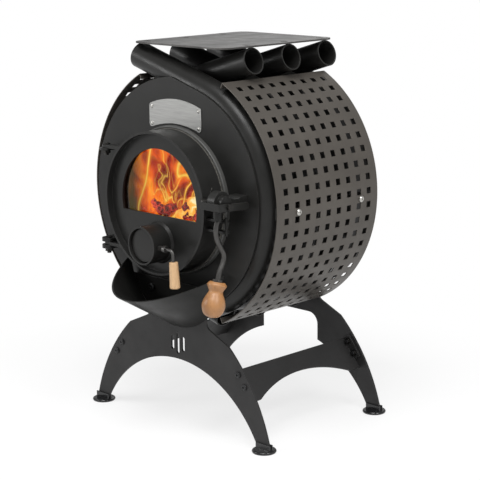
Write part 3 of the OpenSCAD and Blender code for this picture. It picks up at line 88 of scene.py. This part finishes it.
class Nodes:
    """Short names for building the node tree of a material or of the world."""

    def __init__(self, owner, output="ShaderNodeOutputMaterial"):
        owner.use_nodes = True
        self.owner = owner
        self.tree = owner.node_tree
        self.tree.nodes.clear()
        self.out = self.add(output)

    def add(self, kind, **values):
        """A new node with some of its inputs and settings given."""
        node = self.tree.nodes.new(kind)
        for key, value in values.items():
            if key in node.inputs:
                node.inputs[key].default_value = value
            else:
                setattr(node, key, value)
        return node

    def link(self, source, socket):
        self.tree.links.new(source, socket)

    def feed(self, socket, value):
        """Links a socket to another one, or sets it to a number or a colour."""
        if isinstance(value, bpy.types.NodeSocket):
            self.link(value, socket)
        elif isinstance(value, (int, float)):
            socket.default_value = value
        else:
            socket.default_value = (*value, 1)

    def show(self, shader):
        """Makes a shader the owner's surface and returns the owner."""
        self.link(shader, self.out.inputs["Surface"])
        return self.owner

    def place(self, scale=(1, 1, 1)):
        """Object coordinates in metres, stretched by scale."""
        coords = self.add("ShaderNodeTexCoord")
        mapping = self.add("ShaderNodeMapping", Scale=scale)
        self.link(coords.outputs["Object"], mapping.inputs["Vector"])
        return mapping.outputs["Vector"]

    def noise(self, scale, detail=3, rough=0.5, distortion=0.0, stretch=(1, 1, 1)):
        node = self.add("ShaderNodeTexNoise", Scale=scale, Detail=detail, Roughness=rough,
                        Distortion=distortion)
        self.link(self.place(stretch), node.inputs["Vector"])
        return node.outputs["Fac"]

    def ramp(self, value, stops):
        """A colour ramp; stops are (position, colour) pairs."""
        node = self.add("ShaderNodeValToRGB")
        while len(node.color_ramp.elements) < len(stops):
            node.color_ramp.elements.new(0.5)
        for element, (position, colour) in zip(node.color_ramp.elements, stops):
            element.position = position
            element.color = (*colour, 1)
        self.link(value, node.inputs["Fac"])
        return node.outputs["Color"]

    def spread(self, value, low_to, high_to, low_from=0.3, high_from=0.7):
        """Maps a value from one range to another, by default from where noise values lie."""
        node = self.add("ShaderNodeMapRange")
        node.inputs["From Min"].default_value = low_from
        node.inputs["From Max"].default_value = high_from
        node.inputs["To Min"].default_value = low_to
        node.inputs["To Max"].default_value = high_to
        self.link(value, node.inputs["Value"])
        return node.outputs["Result"]

    def mix(self, share, first, second):
        """Mixes two colours; the second one counts by share."""
        node = self.add("ShaderNodeMix", data_type="RGBA")
        self.feed(node.inputs["Factor"], share)
        self.feed(node.inputs[COLOUR_A], first)
        self.feed(node.inputs[COLOUR_B], second)
        return node.outputs[COLOUR_RESULT]

    def blend(self, share, first, second):
        """Mixes two shaders; the second one counts by share."""
        node = self.add("ShaderNodeMixShader")
        self.link(share, node.inputs["Fac"])
        self.link(first, node.inputs[1])
        self.link(second, node.inputs[2])
        return node.outputs["Shader"]

    def math(self, kind, a, b=0.5):
        node = self.add("ShaderNodeMath", operation=kind)
        self.feed(node.inputs[0], a)
        self.feed(node.inputs[1], b)
        return node.outputs[0]

    def edges(self, radius):
        """1 on sharp edges, 0 on faces, with the rounded normal beside it."""
        bevel = self.add("ShaderNodeBevel", Radius=radius, samples=4)
        flat = self.add("ShaderNodeNewGeometry")
        dot = self.add("ShaderNodeVectorMath", operation="DOT_PRODUCT")
        self.link(bevel.outputs["Normal"], dot.inputs[0])
        self.link(flat.outputs["Normal"], dot.inputs[1])
        return self.spread(dot.outputs["Value"], 1, 0, 0.75, 0.98), bevel.outputs["Normal"]

    def bump(self, height, strength, distance, normal=None):
        node = self.add("ShaderNodeBump", Strength=strength, Distance=distance)
        self.link(height, node.inputs["Height"])
        if normal is not None:
            self.link(normal, node.inputs["Normal"])
        return node.outputs["Normal"]

    def surface(self, colour, roughness, normal, **values):
        """A principled shader as the surface."""
        shader = self.add("ShaderNodeBsdfPrincipled", **values)
        self.feed(shader.inputs["Base Color"], colour)
        self.feed(shader.inputs["Roughness"], roughness)
        self.link(normal, shader.inputs["Normal"])
        self.show(shader.outputs["BSDF"])
        return shader


def new_material(name):
    return Nodes(bpy.data.materials.new(name))


def shade(colour, factor):
    """The colour made lighter or darker by a factor."""
    return tuple(min(1, c * factor) for c in colour)


# Real sizes in the finishes
PAINT_WEAR_AND_HIGHLIGHT = 0.9 * MM
PAINT_PEEL = 0.12 * MM
STEEL_WEAR_AND_HIGHLIGHT = 0.5 * MM
STEEL_MARKS = 0.08 * MM
WOOD_FLECKS = 0.1 * MM
BRAID_DEPTH = 1 * MM
CHAR_DEPTH = 2 * MM


def painted(name, colour, rough, grain=900, edge=3.4, metallic=0.0, cloud=14,
            specular=0.5, streaks=0):
    """Sprayed paint on steel: a fine orange peel, faint clouds, edges made lighter as worn paint and as a
    painted highlight, and, if asked, streaks that are partly a painted reflection.
    """
    n = new_material(name)
    clouds = n.noise(cloud, 4, 0.6)
    base = n.ramp(clouds, [(0.3, shade(colour, 0.82)), (0.7, shade(colour, 1.18))])
    specks = n.spread(n.noise(grain, 2), 0, 0.35, 0.62, 0.75)
    base = n.mix(specks, base, shade(colour, 1.7))
    if streaks:
        # Lighter streaks along the plate: partly marks on the steel, partly a painted reflection.
        streak_marks_and_sheen = n.noise(26, 4, 0.6, stretch=(1, 0.05, 1))
        base = n.mix(n.spread(streak_marks_and_sheen, 0, streaks, 0.42, 0.6), base, shade(colour, 3.2))
    # Lighter edges: partly worn paint, partly a painted highlight along rims and edges; the edge argument
    # sets how much lighter.
    worn_and_highlit_edge, rounded = n.edges(PAINT_WEAR_AND_HIGHLIGHT)
    patchy_wear_and_highlight = n.math("MULTIPLY", worn_and_highlit_edge, n.spread(n.noise(90, 3), 0.35, 1))
    base = n.mix(patchy_wear_and_highlight, base, shade(colour, edge))
    roughness = n.spread(n.noise(38, 4), rough - 0.06, rough + 0.07)
    normal = n.bump(n.noise(grain, 2), 0.35, PAINT_PEEL, rounded)
    n.surface(base, roughness, normal, Metallic=metallic, **{"Specular IOR Level": specular})
    return n.owner


def bare_metal(name, colour, rough, stretch=(1, 1, 1), marks=260, dark=0.6):
    """Bright or handled steel with fine drawn marks."""
    n = new_material(name)
    lines = n.noise(marks, 5, 0.65, stretch=stretch)
    base = n.ramp(lines, [(0.25, shade(colour, dark)), (0.75, shade(colour, 1.15))])
    roughness = n.spread(n.noise(marks / 3, 4, stretch=stretch), rough - 0.08, rough + 0.12)
    # Lighter edges: partly worn steel, partly a painted highlight.
    worn_and_highlit_edge, rounded = n.edges(STEEL_WEAR_AND_HIGHLIGHT)
    normal = n.bump(lines, 0.25, STEEL_MARKS, rounded)
    n.surface(n.mix(worn_and_highlit_edge, base, shade(colour, 1.3)), roughness, normal, Metallic=1.0)
    return n.owner


def turned_wood(name, light, dark):
    """Turned beech: grain along the height, short flecks and a thin coat of oil."""
    n = new_material(name)
    grain = n.noise(26, 6, 0.62, 1.2, stretch=(1, 1, 0.12))
    flecks = n.noise(520, 3, 0.6, stretch=(1, 1, 0.22))
    base = n.ramp(grain, [(0.3, dark), (0.5, light), (0.72, shade(light, 1.16))])
    base = n.mix(n.spread(flecks, 0, 0.55, 0.58, 0.74), base, shade(dark, 0.75))
    normal = n.bump(flecks, 0.25, WOOD_FLECKS)
    n.surface(base, n.spread(grain, 0.36, 0.52), normal,
              **{"Coat Weight": 0.25, "Coat Roughness": 0.3})
    return n.owner


def rope_fibre():
    """Braided fibre seal."""
    n = new_material("rope_fibre")
    braid = n.add("ShaderNodeTexVoronoi", Scale=420)
    n.link(n.place(), braid.inputs["Vector"])
    strand = braid.outputs["Distance"]
    base = n.ramp(strand, [(0.0, (0.12, 0.115, 0.10)), (0.8, (0.050, 0.047, 0.042))])
    n.surface(base, n.spread(n.noise(200), 0.8, 0.95), n.bump(strand, 0.8, BRAID_DEPTH))
    return n.owner


def stove_glass():
    """Glass ceramic with a little soot and a faint reflection on the face towards the viewer."""
    n = new_material("stove_glass")
    soot = n.noise(30, 5, 0.6)
    tint = n.ramp(soot, [(0.4, (1.0, 0.98, 0.95)), (0.8, (0.88, 0.80, 0.70))])
    clear = n.add("ShaderNodeBsdfTransparent")
    n.link(tint, clear.inputs["Color"])
    gloss = n.add("ShaderNodeBsdfGlossy")
    n.link(n.spread(soot, 0.05, 0.14), gloss.inputs["Roughness"])
    face = n.add("ShaderNodeNewGeometry")
    share = n.spread(face.outputs["Backfacing"], 0.03, 0, 0, 1)
    return n.show(n.blend(share, clear.outputs["BSDF"], gloss.outputs["BSDF"]))


FINISHES = {
    "body_black": painted("body_black", (0.0140, 0.0138, 0.0130), 0.36, specular=0.27),
    "stand_black": painted("stand_black", (0.021, 0.0205, 0.0205), 0.46, specular=0.30),
    "screw_black": painted("screw_black", (0.020, 0.020, 0.021), 0.34, edge=2.6, metallic=0.3),
    "guard_sheet": painted("guard_sheet", (0.088, 0.079, 0.069), 0.42, grain=1500, edge=1.5,
                           metallic=0.35, cloud=6, specular=0.4),
    "foot_enamel": painted("foot_enamel", (0.012, 0.012, 0.013), 0.17, edge=2.0, grain=500),
    "bright_steel": bare_metal("bright_steel", (0.58, 0.57, 0.54), 0.30),
    "rod_steel": bare_metal("rod_steel", (0.115, 0.112, 0.108), 0.40, stretch=(1, 1, 0.15)),
    "nameplate_steel": bare_metal("nameplate_steel", (0.36, 0.36, 0.35), 0.42,
                                  stretch=(0.04, 1, 1), marks=900, dark=0.8),
    "rope": rope_fibre(),
    "glass": stove_glass(),
    "grip_wood": turned_wood("grip_wood", (0.33, 0.155, 0.055), (0.20, 0.080, 0.025)),
    "flap_wood": turned_wood("flap_wood", (0.53, 0.34, 0.18), (0.39, 0.22, 0.105)),
}
BLACKENED = bare_metal("blackened_steel", (0.055, 0.053, 0.050), 0.38, dark=0.7)
OWN_FINISH = {
    # The cook plate's lighter streaks are partly marks on the steel and partly a painted reflection.
    "cook_plate": painted("cook_top", (0.022, 0.021, 0.020), 0.40, specular=0.36, streaks=1.0),
    # The collar ring is made lighter all over: a painted highlight for the bright band along its rounded
    # front edge.
    "collar_ring": painted("collar_painted_highlight", (0.058, 0.058, 0.055), 0.42, specular=0.4),
    "hinge_pins": BLACKENED,
    "latch_axle": BLACKENED,
    "latch_spring": BLACKENED,
    "rail_nuts": BLACKENED,
    "glass_clips": BLACKENED,
    "flap_spring": BLACKENED,
}
WELD = painted("weld_bead", (0.024, 0.024, 0.024), 0.40, edge=1.2, metallic=0.1)


def finish_nodes():
    """Gives every CAD node its own finish, or else that of its material slot."""
    for part in frame["record"]["subparts"]:
        shown = NODES[part["node"]]
        material = OWN_FINISH.get(part["node"], FINISHES[part["material_slot"]])
        if not shown.material_slots:
            shown.data.materials.append(material)
        for material_slot in shown.material_slots:
            material_slot.material = material


finish_nodes()


# --- Mesh helpers ---

def mesh_object(name, verts, faces, material, smooth=True):
    """A new object with this mesh, its faces all turned the same way."""
    mesh = bpy.data.meshes.new(name)
    mesh.from_pydata([tuple(v) for v in verts], [], faces)
    mesh.update()
    bm = bmesh.new()
    bm.from_mesh(mesh)
    bmesh.ops.recalc_face_normals(bm, faces=bm.faces)
    bm.to_mesh(mesh)
    bm.free()
    for polygon in mesh.polygons:
        polygon.use_smooth = smooth
    shown = bpy.data.objects.new(name, mesh)
    bpy.context.scene.collection.objects.link(shown)
    mesh.materials.append(material)
    return shown


def rides(shown, body):
    """Ties a piece to the body that it moves with."""
    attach(shown, body)


def round_tube(rows, sides, first):
    """Faces of a closed tube of rows of points, whose first vertex has the number first."""
    faces = []
    for i in range(rows - 1):
        for k in range(sides):
            m = (k + 1) % sides
            here, there = first + i * sides, first + (i + 1) * sides
            faces.append((here + k, there + k, there + m, here + m))
    for end in (first, first + (rows - 1) * sides):
        faces.append(tuple(end + k for k in range(sides)))
    return faces


# --- Weld beads ---

BEAD_SIDES = 8
BEAD_STEP = 1.1 * MM


def line(a, b):
    """Evenly spaced points from a to b."""
    count = max(2, int((b - a).length / BEAD_STEP))
    return [a.lerp(b, i / count) for i in range(count + 1)]


def bead_points(path, radius, ripple):
    """Vertices of a weld bead: a tube whose radius swells with each puddle."""
    verts = []
    run = 0.0
    for i, point in enumerate(path):
        before, after = path[max(i - 1, 0)], path[min(i + 1, len(path) - 1)]
        tangent = (after - before).normalized()
        side = tangent.orthogonal().normalized()
        up = tangent.cross(side)
        run += (point - before).length
        puddle = abs(math.sin(math.pi * run / ripple))
        r = radius * (0.86 + 0.14 * puddle + random.uniform(-0.04, 0.04))
        for k in range(BEAD_SIDES):
            a = 2 * math.pi * k / BEAD_SIDES
            verts.append(point + r * (math.cos(a) * side + math.sin(a) * up))
    return verts


def weld(name, paths, radius, body, ripple):
    """One piece holding a weld bead along each path."""
    verts, faces = [], []
    for path in paths:
        faces += round_tube(len(path), BEAD_SIDES, len(verts))
        verts += bead_points(path, radius, ripple)
    rides(mesh_object(name, verts, faces, WELD), body)


# Where the beads lie
STRAP_T = 6 * MM
STRAP_BEAD_OFF = 0.2 * MM
STRAP_BEAD_SHORT = 1 * MM
SKIRT_BEAD_R = 129.6 * MM
SKIRT_BEAD_OUT = 0.4 * MM
PLUG_X = 103 * MM
PLUG_HALF = 5 * MM
PLUG_DROP = 2.7 * MM


def strap_beads():
    """A path over and a path under each hinge strap, where it meets the door's skirt."""
    lowest, highest = low("hinge_straps"), high("hinge_straps")
    y0, y1 = lowest.y + STRAP_BEAD_SHORT, highest.y - STRAP_BEAD_SHORT
    paths = []
    for under in (lowest.z, highest.z - STRAP_T):
        for z in (under - STRAP_BEAD_OFF, under + STRAP_T + STRAP_BEAD_OFF):
            x = -math.sqrt(SKIRT_BEAD_R ** 2 - (z - DOOR_C.z) ** 2) - SKIRT_BEAD_OUT
            paths.append(line(Vector((x, y0, z)), Vector((x, y1, z))))
    return paths


def plug_beads():
    """A path in each slot of the cook plate, over the tube that ends there."""
    z = high("cook_plate").z - PLUG_DROP
    paths = []
    for node in NODES:
        if node.startswith("tube_"):
            x = PLUG_X if "left" in node else -PLUG_X
            y = centre(node).y
            paths.append(line(Vector((x - PLUG_HALF, y, z)), Vector((x + PLUG_HALF, y, z))))
    return paths


random.seed(4)
weld("hinge_strap_welds", strap_beads(), 1.2 * MM, "door", 2.6 * MM)
weld("cook_plate_plug_welds", plug_beads(), 2.2 * MM, "stove", 3 * MM)


# --- The fire ---

# Gas from its coolest to its hottest, by the place on a noise's scale
GAS = [(0.35, (0.14, 0.006, 0.002)), (0.45, (0.36, 0.022, 0.005)), (0.53, (0.70, 0.085, 0.008)),
       (0.61, (0.92, 0.17, 0.010)), (0.72, (1.00, 0.33, 0.020))]
THREAD = (1.0, 0.72, 0.13)
THREAD_HALO = (1.0, 0.38, 0.020)
TONGUE = (1.0, 0.74, 0.12)
TONGUE_HALO = (1.0, 0.34, 0.018)
SMOKE = (0.045, 0.045, 0.012)

# Tall bright tongues: place across the door and half width
TONGUES = [(-58 * MM, 2.2 * MM), (2 * MM, 2.6 * MM), (34 * MM, 1.4 * MM)]
TONGUE_SWAY = 150 * MM

# Places across the door: the gas grows cooler over the first span, and smoke hides it over the second
COOLING = (-30 * MM, 45 * MM)
SMOKE_EDGE = (-98 * MM, -60 * MM)

# How strongly the flames light other things, as a share of how bright they look
FIRELIGHT = 0.3


def flame_material(name, threads_only, offset):
    """Glowing gas: soft red and orange sheets that thin bright threads cross."""
    n = new_material(name)
    coords = n.add("ShaderNodeTexCoord")
    mapping = n.add("ShaderNodeMapping", Scale=(1, 1, 0.55),
                    Location=(offset, offset * 0.7, offset * 0.3))
    n.link(coords.outputs["Object"], mapping.inputs["Vector"])
    warp = n.add("ShaderNodeTexNoise", Scale=13, Detail=2, Roughness=0.5)
    n.link(mapping.outputs["Vector"], warp.inputs["Vector"])
    shift = n.add("ShaderNodeVectorMath", operation="MULTIPLY_ADD")
    n.link(warp.outputs["Color"], shift.inputs[0])
    shift.inputs[1].default_value = (0.11, 0.11, 0.07)
    n.link(mapping.outputs["Vector"], shift.inputs[2])

    def gas(scale, detail):
        noise = n.add("ShaderNodeTexNoise", Scale=scale, Detail=detail, Roughness=0.45,
                      Distortion=0.5)
        n.link(shift.outputs["Vector"], noise.inputs["Vector"])
        return noise.outputs["Fac"]

    place = n.add("ShaderNodeSeparateXYZ")
    n.link(coords.outputs["Object"], place.inputs["Vector"])
    across = place.outputs["X"]
    colour = n.ramp(n.math("ADD", gas(30, 3), n.spread(across, 0.02, -0.085, *COOLING)), GAS)

    ridge = n.math("ABSOLUTE", n.math("SUBTRACT", gas(24, 1.5), 0.5))
    patches = gas(9, 1)
    threads = n.math("MULTIPLY", n.spread(ridge, 1, 0, 0, 0.020), n.spread(patches, 0, 1, 0.42, 0.58))
    halo = n.math("MULTIPLY", n.spread(ridge, 0.6, 0, 0, 0.06), n.spread(patches, 0, 1, 0.40, 0.60))
    colour = n.mix(halo, colour, THREAD_HALO)
    colour = n.mix(threads, colour, THREAD)

    sway = n.math("MULTIPLY", n.math("SUBTRACT", gas(10, 1), 0.5), TONGUE_SWAY)
    for x, width in TONGUES:
        off = n.math("ABSOLUTE", n.math("SUBTRACT", n.math("ADD", across, sway), x))
        colour = n.mix(n.spread(off, 0.75, 0, 0, 3 * width), colour, TONGUE_HALO)
        colour = n.mix(n.spread(off, 1, 0, 0, width), colour, TONGUE)
    colour = n.mix(n.spread(across, 0.92, 0, *SMOKE_EDGE), colour, SMOKE)

    glow = n.add("ShaderNodeEmission")
    n.link(colour, glow.inputs["Color"])
    path = n.add("ShaderNodeLightPath")
    n.link(n.spread(path.outputs["Is Camera Ray"], FIRELIGHT, 1, 0, 1), glow.inputs["Strength"])
    if not threads_only:
        return n.show(glow.outputs["Emission"])
    clear = n.add("ShaderNodeBsdfTransparent")
    share = n.math("MAXIMUM", halo, threads)
    return n.show(n.blend(share, clear.outputs["BSDF"], glow.outputs["Emission"]))


def ember_material(name, cell_scale, cool, warm, hot):
    """Burning wood with glowing cracks."""
    n = new_material(name)
    cells = n.add("ShaderNodeTexVoronoi", Scale=cell_scale, feature="DISTANCE_TO_EDGE")
    n.link(n.place(), cells.inputs["Vector"])
    crack = cells.outputs["Distance"]
    heat = n.math("MULTIPLY", n.spread(crack, 1, 0.25, 0, 0.22),
                  n.spread(n.noise(34, 3), 0.1, 1.25, 0.36, 0.66))
    shader = n.surface((0.02, 0.015, 0.012), 0.9, n.bump(crack, 0.8, CHAR_DEPTH),
                       **{"Emission Strength": 1.0})
    n.link(n.ramp(heat, [(0.08, cool), (0.5, warm), (0.95, hot)]), shader.inputs["Emission Color"])
    return n.owner


EMBERS = ember_material("embers", 110, (0.04, 0.003, 0.002), (0.30, 0.012, 0.008), (0.75, 0.07, 0.035))
HOT_LOG = ember_material("hot_log", 45, (1.0, 0.36, 0.03), (1.0, 0.62, 0.12), (1.0, 0.93, 0.55))

FLAME_R = 111 * MM
LOG_Z = 384 * MM
WINDOW_LOW_Z = DOOR_C.z - 22 * MM


def flame_sheet(name, near_y, far_y, wave, material, shrink=1.0):
    """A wavy upright sheet across the fire opening, nearer the glass on the left."""
    cells = 44
    verts, faces = [], []
    for i in range(cells + 1):
        for j in range(cells + 1):
            u, v = 2 * i / cells - 1, 2 * j / cells - 1
            x, z = u * math.sqrt(1 - v * v / 2), v * math.sqrt(1 - u * u / 2)
            t = (x + 1) / 2
            y = near_y + (far_y - near_y) * t * t
            y += wave * math.sin(5.1 * x + 2.3 * z + 9 * near_y / MM) * (1 - x * x) * (1 - z * z)
            verts.append(Vector((DOOR_C.x + shrink * FLAME_R * x, y, DOOR_C.z + shrink * FLAME_R * z)))
    for i in range(cells):
        for j in range(cells):
            a = i * (cells + 1) + j
            faces.append((a, a + 1, a + cells + 2, a + cells + 1))
    rides(mesh_object(name, verts, faces, material), "stove")


def lump(name, places, material, seed):
    """Rough pieces of burning wood: each place is (start, end, radius)."""
    random.seed(seed)
    verts, faces = [], []
    sides, rings = 14, 14
    for start, end, radius in places:
        faces += round_tube(rings + 1, sides, len(verts))
        along = (end - start).normalized()
        side = along.orthogonal().normalized()
        up = along.cross(side)
        notch = [random.uniform(0.86, 1.08) for _ in range(sides)]
        for i in range(rings + 1):
            t = i / rings
            taper = min(1, 6 * t + 0.55, 6 * (1 - t) + 0.55)
            for k in range(sides):
                a = 2 * math.pi * k / sides
                r = radius * taper * notch[k] * random.uniform(0.95, 1.05)
                verts.append(start.lerp(end, t) + r * (math.cos(a) * side + math.sin(a) * up))
    rides(mesh_object(name, verts, faces, material), "stove")


def ember_bed():
    """A heap of embers that fills the lower part of the firebox."""
    random.seed(11)
    floor_r = 168 * MM
    half_width = 150 * MM
    top = 372 * MM
    thinnest = 4 * MM
    axis_z = centre("guard_right").z
    across, along = 26, 18
    y0, y1 = PLATE_BACK_Y + 8 * MM, REAR_Y - 25 * MM
    verts, faces = [], []
    for face in (0, 1):
        for j in range(along + 1):
            for i in range(across + 1):
                u = 2 * i / across - 1
                x = u * half_width
                y = y0 + (y1 - y0) * j / along
                under = axis_z - math.sqrt(floor_r ** 2 - x * x)
                rim = min(1, 5 * (1 - abs(u)), 4 * j / along, 4 * (1 - j / along))
                rough = random.uniform(-5, 5) * MM
                heap = under + (top - under) * (0.35 + 0.65 * max(0, rim)) + rough
                verts.append(Vector((x, y, under if face else max(heap, under + thinnest))))
    row = across + 1
    layer = row * (along + 1)
    for first in (0, layer):
        for j in range(along):
            for i in range(across):
                a = first + j * row + i
                faces.append((a, a + 1, a + row + 1, a + row))
    edge = (list(range(across)) + [across + row * j for j in range(along)]
            + [layer - 1 - i for i in range(across)] + [row * (along - j) for j in range(along)])
    for a, b in zip(edge, edge[1:] + edge[:1]):
        faces.append((a, b, b + layer, a + layer))
    rides(mesh_object("ember_bed", verts, faces, EMBERS), "stove")


def flames():
    """Two sheets of gas, the front one of threads only."""
    near = PLATE_FRONT_Y
    flame_sheet("flames_back", near - 18 * MM, near + 60 * MM, 6 * MM,
                flame_material("flames_back", False, 3.1))
    flame_sheet("flames_front", near - 21 * MM, near + 26 * MM, 5 * MM,
                flame_material("flames_front", True, 7.7), shrink=0.99)


def logs():
    """Three logs that lie behind the front plate."""
    y, z = PLATE_BACK_Y, LOG_Z
    lump("fire_logs", [
        (Vector((-88 * MM, y + 34 * MM, z)), Vector((82 * MM, y + 52 * MM, z + 12 * MM)), 24 * MM),
        (Vector((-60 * MM, y + 120 * MM, z)), Vector((70 * MM, y + 86 * MM, z + 6 * MM)), 26 * MM),
        (Vector((-30 * MM, y + 40 * MM, z + 30 * MM)), Vector((40 * MM, y + 110 * MM, z + 34 * MM)),
         18 * MM),
    ], EMBERS, 5)


def coals():
    """A row of coals along the window's lower edge, and two hot logs on its right."""
    y, z = PLATE_FRONT_Y, WINDOW_LOW_Z
    count, gap, first = 16, 9.5, -66
    length, radius = 13 * MM, 9 * MM
    random.seed(8)
    row = []
    for i in range(count):
        start = Vector(((first + gap * i + random.uniform(-3, 3)) * MM, y - random.uniform(2, 9) * MM,
                        z + random.uniform(-6, 9) * MM))
        turn = random.uniform(0, math.pi)
        row.append((start, start + length * Vector((math.cos(turn), 0.2, math.sin(turn))), radius))
    lump("coals", row, EMBERS, 9)
    lump("hot_logs", [
        (Vector((12 * MM, y - 12 * MM, z - 3 * MM)), Vector((48 * MM, y - 4 * MM, z + 9 * MM)), 9 * MM),
        (Vector((34 * MM, y - 2 * MM, z + 20 * MM)), Vector((76 * MM, y + 3 * MM, z + 30 * MM)), 10 * MM),
    ], HOT_LOG, 6)


flames()
logs()
ember_bed()
coals()


# --- Floor, light and camera ---

# The floor looks partly plain white, by this share near the stove and wholly further out
FLOOR_SHARE = 0.72
FLOOR_FADE = (0.42, 0.75)
FLOOR_HALF = 6.0
FLOOR_DROP = 0.2 * MM
WORLD_LIGHT = 0.42


def floor():
    """A white floor that keeps the stove's shadow."""
    n = new_material("floor_white")
    plain = n.add("ShaderNodeBsdfDiffuse", Color=(0.88, 0.88, 0.88, 1))
    white = n.add("ShaderNodeEmission", Color=(1, 1, 1, 1), Strength=1.0)
    path = n.add("ShaderNodeLightPath")
    seen = n.math("MAXIMUM", path.outputs["Is Camera Ray"], path.outputs["Is Glossy Ray"])
    seen = n.math("MAXIMUM", seen, path.outputs["Is Transmission Ray"])
    away = n.add("ShaderNodeVectorMath", operation="LENGTH")
    n.link(n.place(), away.inputs[0])
    share = n.math("MULTIPLY", seen, n.spread(away.outputs["Value"], FLOOR_SHARE, 1, *FLOOR_FADE))
    n.show(n.blend(share, plain.outputs["BSDF"], white.outputs["Emission"]))
    corners = [(x * FLOOR_HALF, y * FLOOR_HALF, 0) for x, y in ((-1, -1), (1, -1), (1, 1), (-1, 1))]
    shown = mesh_object("floor", corners, [(0, 1, 2, 3)], n.owner, smooth=False)
    shown.location.z = -FLOOR_DROP


def world():
    """Plain white where it is seen directly, and a soft even light on everything."""
    bpy.context.scene.world = bpy.data.worlds.new("studio")
    n = Nodes(bpy.context.scene.world, "ShaderNodeOutputWorld")
    path = n.add("ShaderNodeLightPath")
    seen = n.math("MAXIMUM", path.outputs["Is Camera Ray"], path.outputs["Is Transmission Ray"])
    background = n.add("ShaderNodeBackground", Color=(1, 1, 1, 1))
    n.link(n.spread(seen, WORLD_LIGHT, 1, 0, 1), background.inputs["Strength"])
    n.show(background.outputs["Background"])


# What the lamps point at
STOVE_MIDDLE = Vector((0, 0, 0.38))


def lamp(name, place, size, power):
    """A round soft lamp that points at the stove."""
    data = bpy.data.lights.new(name, "AREA")
    data.shape = "DISK"
    data.size = size
    data.energy = power
    shown = bpy.data.objects.new(name, data)
    shown.location = place
    shown.rotation_euler = (STOVE_MIDDLE - Vector(place)).to_track_quat("-Z", "Y").to_euler()
    bpy.context.scene.collection.objects.link(shown)


def lights():
    lamp("key", (-1.0, -1.3, 0.9), 0.5, 6)
    lamp("side", (2.7, -0.3, 2.5), 1.5, 50)
    lamp("top", (0.6, -1.1, 2.7), 1.6, 55)
    lamp("rim", (-1.7, 2.4, 2.2), 1.6, 10)


def camera():
    """The photograph's view: its azimuth, pitch, roll, distance and field."""
    azimuth = math.radians(44.76)
    pitch = math.radians(12.25)
    roll = math.radians(-0.50)
    distance = 2.8864
    target = Vector((0.00704, 0.02965, 0.3253))
    forward = Vector((-math.sin(azimuth) * math.cos(pitch), math.cos(azimuth) * math.cos(pitch),
                      -math.sin(pitch)))
    data = bpy.data.cameras.new("photo_view")
    data.sensor_width = 36
    data.lens = 115.38
    data.clip_start = 0.05
    shown = bpy.data.objects.new("photo_view", data)
    turn = forward.to_track_quat("-Z", "Y") @ Quaternion((0, 0, 1), roll)
    shown.location = target - distance * forward
    shown.rotation_euler = turn.to_euler()
    bpy.context.scene.collection.objects.link(shown)
    bpy.context.scene.camera = shown


floor()
world()
lights()
camera()

bpy.context.scene.view_settings.view_transform = "Standard"
